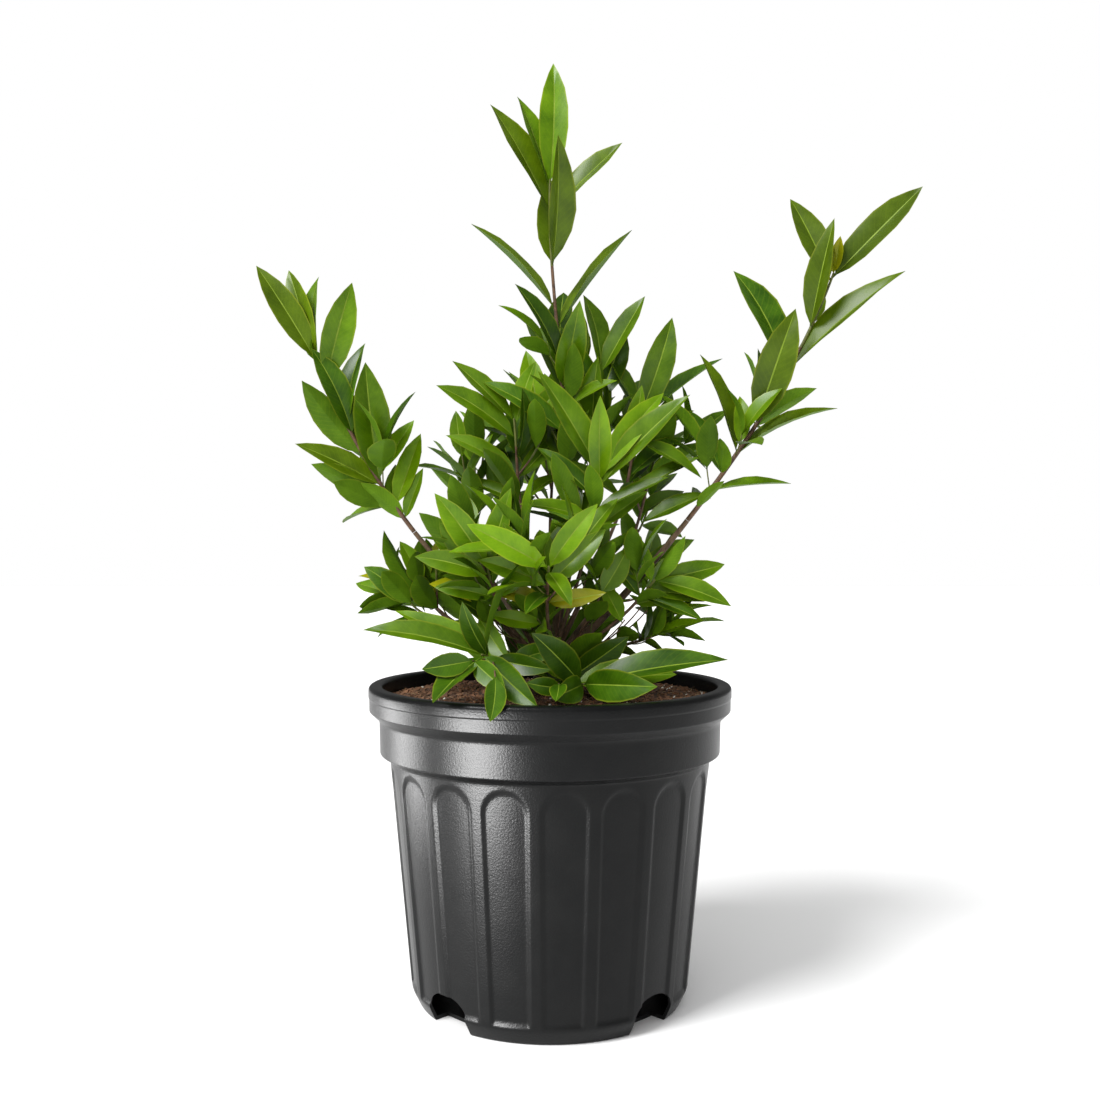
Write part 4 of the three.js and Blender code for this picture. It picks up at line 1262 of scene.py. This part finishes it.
def shoot_is_clear(shoot, parent, radius, space):
    """True if a new shoot keeps clear of the pot and of every limb, its parent too once it has left that."""
    if near_pot(shoot["ends"]):
        return False
    starts, ends, radii, owner = all_limbs()
    others = owner != number_of(parent)
    gaps = distances(shoot["ends"], starts[others], ends[others])
    if np.any(gaps <= radii[others] + radius + space):
        return False
    return not np.any(distances(shoot["ends"][1:], parent["starts"], parent["ends"]) <= space)


def grow_shoots(mass):
    random = seeded_random(mass["seed"])
    for index in range(mass.get("shoots", 0)):
        along = first_shoot + shoot_range * (index + random()) / mass["shoots"]
        turn = shoot_turn * index + jitter(random, shoot_turn_jitter)
        reach = mass["shoot_length"] * (shoot_reach_at_foot - shoot_reach_loss * along)
        reach *= 1 + jitter(random, shoot_reach_jitter)
        for change in shoot_tries:
            curve = shoot_curve(mass["stem"], along, turn + change, reach)
            shoot = make_limb(curve, shoot_radius, stem_tip_radius, shoot_steps, mass)
            if shoot_is_clear(shoot, mass["stem"], shoot_radius, 2 * clearance):
                mass["stems"].append(shoot)
                limbs.append(shoot)
                break


def make_leaf(stem, along, run, roll, length, ratio):
    point, stem_run, _, _ = frame_at(stem["curve"], along)
    face = unit(stem_run - run * stem_run.dot(run))
    roll = math.radians(roll)
    face = face * math.cos(roll) + np.cross(run, face) * math.sin(roll)
    side = np.cross(face, run)
    leaf = dict(limb=stem, root=point, run=run, face=face, side=side, length=length, width=length * ratio)
    leaf["centre"] = leaf_point(leaf, 0.5, 0)
    leaf["triangles"] = leaf_triangles(leaf)
    return leaf


def leaf_is_clear(leaf, space):
    stem = leaf["limb"]["mass"]["stem"]
    tip = leaf_point(leaf, 1, 0)
    return (
        distances(tip[None], stem["starts"], stem["ends"]).min() < leaf["limb"]["mass"]["reach"]
        and not near_pot(samples_of(leaf, (-1, 1)))
        and not leaf_meets_limbs(leaf, space)
        and not leaves_cross(leaf)
    )


def grow_listed_leaves(stem, rows, ratio, tones):
    for number, (along, heading, rise, length, roll, *narrow) in enumerate(rows):
        for change in aim_tries:
            run = direction(heading + change / 3, rise)
            leaf = make_leaf(stem, along, run, roll, length, *(narrow or [ratio]))
            if leaf_is_clear(leaf, clearance):
                leaf["tone"] = tones[number // 2 % len(tones)]
                leaves.append(leaf)
                break


def grow_fine_twig(twig):
    mass, tip = masses[twig["mass"]], np.array(twig["tip"], float)
    foot = trunk_point(twig["height"]) if "height" in twig else point_on(mass["stem"]["curve"], twig["along"])
    straight = unit(tip - foot)
    curve = limb_curve(foot, straight, tip, unit(straight + fine_twig_lift * up * np.sign(straight[2])))
    limb = make_limb(curve, fine_twig_radius, spur_tip_radius, shoot_steps, mass)
    limbs.append(limb)
    mass["fine_stems"].append(limb)
    grow_listed_leaves(limb, twig.get("leaves", ()), fine_twig_ratio, (twig.get("tone"),))


def curve_length(curve):
    points = np.array([point_on(curve, step / length_steps) for step in range(length_steps + 1)])
    return np.linalg.norm(np.diff(points, axis=0), axis=1).sum()


def grow_pairs(stem, seed, scale, pairs, ratio, space):
    """Opposite leaves up a stem. scale is their length beside that of the mass."""
    mass, random = stem["mass"], seeded_random(seed)
    first_turn = 360 * random()
    for pair in range(1, pairs + 1):
        along = min(bare_foot + (1 - bare_foot) * pair / pairs, last_pair)
        _, stem_run, side, front = frame_at(stem["curve"], along)
        turn_now = first_turn + pair_turn * pair + jitter(random, turn_jitter)
        for half in (0, 180):
            spread = spread_low + (spread_high - spread_low) * along ** 2 + jitter(random, spread_jitter)
            length = mass.get("length", usual_length) * scale
            length *= length_at_foot + (1 - length_at_foot) * along
            length *= 1 + jitter(random, length_jitter)
            roll = jitter(random, roll_jitter)
            for change in aim_tries:
                turn, open_by = math.radians(turn_now + half + change), math.radians(spread)
                out = side * math.cos(turn) + front * math.sin(turn)
                run = stem_run * math.cos(open_by) + out * math.sin(open_by)
                leaf = make_leaf(stem, along, run, roll, length, ratio)
                if leaf_is_clear(leaf, space):
                    leaf["spray"] = (seed, pair // 2)
                    leaves.append(leaf)
                    break


def between(ends, share):
    return ends[0] + (ends[1] - ends[0]) * share


def grow_spurs(mass, stem, count, highest, seed):
    """Finer twigs on one stem, each with its own small leaves. One that finds no room for them is dropped."""
    random = seeded_random(seed)
    for index in range(count):
        along = first_spur + (highest - first_spur) * (index + random()) / count
        turn = shoot_turn * index + spur_turn + jitter(random, spur_turn_jitter)
        reach = between(spur_length, random())
        scale = between(spur_leaf_scale, random())
        for change in shoot_tries:
            curve = shoot_curve(stem, along, turn + change, reach)
            spur = make_limb(curve, spur_radius, spur_tip_radius, shoot_steps, mass)
            meets_leaf = any(
                np.linalg.norm(leaf["centre"] - spur["ends"][1]) < leaf["length"]
                and crossings(spur["starts"][1:], spur["ends"][1:], leaf["triangles"])
                for leaf in leaves
            )
            if meets_leaf or not shoot_is_clear(spur, stem, spur_radius, 2 * spur_clearance):
                continue
            before = len(leaves)
            limbs.append(spur)
            ratio = mass["ratio"] * spur_leaf_width
            grow_pairs(spur, seed * 10 + index, scale, spur_pairs, ratio, spur_clearance)
            if len(leaves) - before >= fewest_spur_leaves:
                mass["spur_stems"].append(spur)
                break
            limbs.pop()
            gathered_limbs.clear()
            del leaves[before:]


for mass in masses.values():
    grow_shoots(mass)
for mass in masses.values():
    rows = mass.get("leaves") or mass.get("first_leaves", ())
    grow_listed_leaves(mass["stem"], rows, mass["ratio"], mass.get("tones", usual_tones).split())
for twig in fine_twigs:
    grow_fine_twig(twig)
for mass in masses.values():
    for index, stem in enumerate(mass["stems"]):
        if index == 0 and "leaves" in mass:
            continue
        scale = 1 if index == 0 else shoot_leaf_scale
        leafy = curve_length(stem["curve"]) * (1 - bare_foot)
        pairs = max(int(leafy / (mass.get("spacing", usual_spacing) * scale) + 0.5), fewest_pairs)
        grow_pairs(stem, mass["seed"] * 100 + index, scale, pairs, mass["ratio"], clearance)
for name, mass in masses.items():
    seed = mass["seed"] * 1000
    highest = last_listed_spur if "leaves" in mass else last_spur
    grow_spurs(mass, mass["stem"], mass.get("spurs", 0), highest, seed)
    for index, shoot in enumerate(mass["stems"][1:]):
        grow_spurs(mass, shoot, mass.get("shoot_spurs", 0), last_spur, seed + 1 + index)
    if name in boughs:
        limb = limbs[list(boughs).index(name)]
        limb["mass"] = mass
        grow_spurs(mass, limb, mass.get("bough_spurs", 0), last_bough_spur, seed + 100)

# Twigs. The stems are brown and woody for most of their length, and the youngest growth is green.
woody_share = 0.72
stem_points = 24
shoot_points = 12
tip_rounding = ((0.7, 0.75), (1, 0.3))
brown_twig = mottled(
    "brown_twig", (0.05, 0.026, 0.014), (0.16, 0.085, 0.045),
    patch=5, roughness=(0.5, 0.75), grain=0.5, depth=0.12,
)
green_twig = mottled(
    "green_twig", (0.06, 0.075, 0.012), (0.16, 0.17, 0.035),
    patch=6, roughness=(0.4, 0.6), grain=0.5, depth=0.08,
)


def limb_line(limb, start, end, count):
    """A stretch of a limb as points with radii, with a rounded tip where it ends."""
    line = []
    for step in range(count + 1):
        along = start + (end - start) * step / count
        slim = bark_share + (1 - bark_share) * along
        radius = limb["foot"] + (limb["tip"] - limb["foot"]) * along
        line.append((point_on(limb["curve"], along), slim * radius))
    if end == 1:
        point, radius = line[-1]
        run = run_on(limb["curve"], 1)
        line += [(point + run * radius * out, radius * share) for out, share in tip_rounding]
    return line


woody_lines, green_lines = [], []
for mass in masses.values():
    woody_lines.append(limb_line(mass["stem"], 0, woody_share, stem_points))
    green_lines.append(limb_line(mass["stem"], woody_share, 1, stem_points // 2))
    woody_lines += [limb_line(shoot, 0, woody_share / 2, shoot_points // 2) for shoot in mass["stems"][1:]]
    woody_lines += [limb_line(twig, 0, 1, shoot_points) for twig in mass["fine_stems"]]
    green_lines += [limb_line(shoot, woody_share / 2, 1, shoot_points) for shoot in mass["stems"][1:]]
    green_lines += [limb_line(spur, 0, 1, shoot_points // 2) for spur in mass["spur_stems"]]
limb_pieces("brown_twigs", woody_lines, 8, 0.3, 1.2, brown_twig)
limb_pieces("green_twigs", green_lines, 7, 0.15, 1.2, green_twig)

# Leaves. Glossy, leathery and lance-shaped, folded up a little along a pale midrib, with a paler dull
# underside. Each is a closed blade of some sixty faces, and every spray takes one of five plain greens.
blade_stations = (0, 0.05, 0.14, 0.28, 0.44, 0.6, 0.76, 0.9, 1)
blade_widths = (0.05, 0.08, 0.52, 0.88, 1, 0.96, 0.74, 0.36, 0)
blade_ratio = 0.32
blade_fold = 0.5
blade_flattening = 0.14
blade_waves = 9
blade_thickness = 0.01
blade_shoulder = 0.55
blade_join = 0.00001
rib_share = 0.04
vein_count = 17
vein_slant = 2.6
vein_green = (0.3, 0.37, 0.02, 1)
edge_green = (0.31, 0.33, 0.02, 1)
leaf_greens = {
    "deep": ((0.016, 0.05, 0.001), (0.048, 0.115, 0.002)),
    "olive": ((0.046, 0.084, 0.001), (0.088, 0.15, 0.002)),
    "mid": ((0.045, 0.106, 0.001), (0.1, 0.195, 0.002)),
    "fresh": ((0.07, 0.155, 0.001), (0.135, 0.25, 0.002)),
    "turning": ((0.17, 0.195, 0.002), (0.31, 0.3, 0.005)),
}


def veined(material, strength):
    """Adds faint side veins, a pale edge and the leaf's own brightness to its colour, along its own map."""
    tree = material.node_tree
    colour = tree.nodes["Principled BSDF"].inputs["Base Color"]
    place = wire(tree, "ShaderNodeUVMap")
    from_left, along = (wire(tree, "ShaderNodeSeparateXYZ", {"Vector": place}, axis) for axis in "XY")
    across = sums(tree, "ABSOLUTE", sums(tree, "MULTIPLY_ADD", from_left, 2.0, -1.0))
    slant = sums(tree, "MULTIPLY_ADD", across, -vein_slant, sums(tree, "MULTIPLY", along, float(vein_count)))
    wave = sums(tree, "ABSOLUTE", sums(tree, "SINE", sums(tree, "MULTIPLY", slant, math.pi)))
    vein = sums(tree, "POWER", sums(tree, "SUBTRACT", 1.0, wave), 5.0)
    pale = blend(tree, sums(tree, "MULTIPLY", vein, strength), colour.links[0].from_socket, vein_green)
    rim = wire(tree, "ShaderNodeMapRange", {"Value": across, "From Min": 0.88, "To Max": 0.4})
    tint = wire(tree, "ShaderNodeAttribute", result="Fac", attribute_name="tint")
    bright = wire(tree, "ShaderNodeMapRange", {"Value": tint, "To Min": 0.7, "To Max": 1.25})
    edged = {"Value": bright, "Color": blend(tree, rim, pale, edge_green)}
    tree.links.new(wire(tree, "ShaderNodeHueSaturation", edged), colour)
    return material


leaf_paints = {}
for tone, (dark, light) in leaf_greens.items():
    plain = mottled(
        "leaf_" + tone, dark, light, patch=22, roughness=(0.25, 0.38), grain=2.2, depth=0.06, shine=0.22
    )
    leaf_paints[tone] = veined(plain, 0.07)
rib_paint = mottled(
    "leaf_midrib", (0.13, 0.2, 0.015), (0.2, 0.28, 0.03),
    patch=9, roughness=(0.4, 0.55), grain=1, depth=0.03, shine=0.14,
)
dull = mottled(
    "leaf_underside", (0.056, 0.128, 0.004), (0.102, 0.205, 0.007),
    patch=20, roughness=(0.5, 0.65), grain=1.6, depth=0.07, shine=0.12,
)
underside_paint = veined(dull, 0.14)


def blade(name, bow, sweep, wave, phase):
    """A leaf one unit long, from its stalk at the origin along Y, with its upper face towards Z."""
    upper = (-1, -blade_shoulder, -rib_share, rib_share, blade_shoulder, 1)
    across_all = upper + (rib_share, -rib_share)
    count = len(across_all)
    corners, places = [], []
    for along, share in zip(blade_stations, blade_widths):
        half = blade_ratio / 2 * share
        middle = sweep * along * (1 - along) * 4
        for number, across in enumerate(across_all):
            fold = half * (blade_fold * abs(across) - blade_flattening * across * across)
            ripple = wave * math.sin(blade_waves * along + phase) * across * abs(across) * share
            lift = 4 * bow * along * (1 - along) + fold + ripple
            if number >= len(upper):
                lift -= blade_thickness * (0.3 + 0.7 * share)
            corners.append((middle + across * half, along, lift))
            places.append(((across + 1) / 2, along))
    faces, kinds = [], []
    for square in quads(len(blade_stations) - 1, count, closed=True):
        side, after = square[0] % count, square[1] % count
        inner_first = abs(across_all[side]) < abs(across_all[after])
        cuts = ((0, 1, 2), (0, 2, 3)) if inner_first else ((0, 1, 3), (1, 2, 3))
        faces += [tuple(square[corner] for corner in cut) for cut in cuts]
        kinds += [1 if side == 2 else 0 if side < 5 else 2] * 2
    faces.append(tuple(reversed(range(count))))
    kinds.append(1)
    piece = mesh_piece(name, np.array(corners) / mm, faces, [leaf_paints["mid"], rib_paint, underside_paint])
    piece.data.polygons.foreach_set("material_index", kinds)
    layer = piece.data.uv_layers.new(name="UVMap")
    for loop in piece.data.loops:
        layer.data[loop.index].uv = places[loop.vertex_index]
    crisp = piece.data.attributes.new("sharp_edge", "BOOLEAN", "EDGE")
    for edge in piece.data.edges:
        first, second = (vertex % count for vertex in edge.vertices)
        crisp.data[edge.index].value = first == second and first in (0, 2, 3, 5)
    tidy = bmesh.new()
    tidy.from_mesh(piece.data)
    bmesh.ops.remove_doubles(tidy, verts=tidy.verts, dist=blade_join)
    bmesh.ops.dissolve_degenerate(tidy, edges=tidy.edges, dist=blade_join)
    tidy.to_mesh(piece.data)
    tidy.free()
    return piece


blade_shapes = [
    blade("blade_a", 0.035, 0.0, 0.008, 0.0), blade("blade_b", 0.06, 0.02, 0.01, 1.4),
    blade("blade_c", 0.045, -0.022, 0.012, 2.6), blade("blade_d", 0.02, 0.012, 0.012, 4.0),
    blade("blade_e", 0.075, -0.008, 0.008, 5.2), blade("blade_f", 0.05, 0.03, 0.014, 0.8),
]
blades = gathered("blades", blade_shapes)

spray_tree, spray_in = new_tree(
    "leaves_on_twigs", Shapes="Collection", Upper_Face="Material", Finish="Material"
)
dealt = wire(spray_tree, "GeometryNodeInstanceOnPoints", {
    "Points": spray_in["Geometry"], "Instance": picked_from(spray_tree, spray_in["Shapes"]),
    "Pick Instance": True, "Instance Index": named(spray_tree, "shape", "INT"),
    "Rotation": named(spray_tree, "turn", "QUATERNION"), "Scale": named(spray_tree, "size", "FLOAT_VECTOR"),
})
upper_faces = wire(spray_tree, "GeometryNodeMaterialSelection", {"Material": spray_in["Upper Face"]})
close_tree(spray_tree, dealt, spray_in["Finish"], Selection=upper_faces)


def leaf_pieces(name, chosen, finish):
    """One joined mesh of leaves that share a green."""
    mesh = bpy.data.meshes.new(name)
    mesh.from_pydata([tuple(leaf["root"] * mm) for leaf in chosen], [], [])
    turns, sizes, kinds, tints = [], [], [], []
    for leaf in chosen:
        across = np.cross(leaf["run"], leaf["face"])
        turn = Matrix(np.array((across, leaf["run"], leaf["face"])).T.tolist()).to_quaternion()
        length = leaf["length"] * mm
        turns += list(turn)
        sizes += [leaf["width"] * mm / blade_ratio, length, length]
        random = seeded_random(int(leaf["length"] * 1000) + int(abs(leaf["root"][0]) * 77))
        kinds.append(int(random() * len(blade_shapes)))
        tints.append(random())
    carry(mesh, "turn", "QUATERNION", turns)
    carry(mesh, "size", "FLOAT_VECTOR", sizes)
    carry(mesh, "shape", "INT", kinds)
    carry(mesh, "tint", "FLOAT", tints)
    source = in_scene(name + "_points", mesh)
    piece = grown(source, spray_tree, name, Shapes=blades, Upper_Face=leaf_paints["mid"], Finish=finish)
    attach(piece, "root")
    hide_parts(*["foliage_" + mass_name for mass_name in masses])


sprays = {tone: [] for tone in leaf_greens}
for leaf in leaves:
    if "spray" in leaf:
        seed, number = leaf["spray"]
        mass = leaf["limb"]["mass"]
        tones = (usual_tones if "leaves" in mass else mass.get("tones", usual_tones)).split()
        draw = seeded_random(seed * 7 + number * 13)
        leaf["tone"] = tones[int(draw() * len(tones))]
    sprays[leaf["tone"]].append(leaf)
for tone, chosen in sprays.items():
    leaf_pieces("leaves_" + tone, chosen, leaf_paints[tone])
discard(blades)
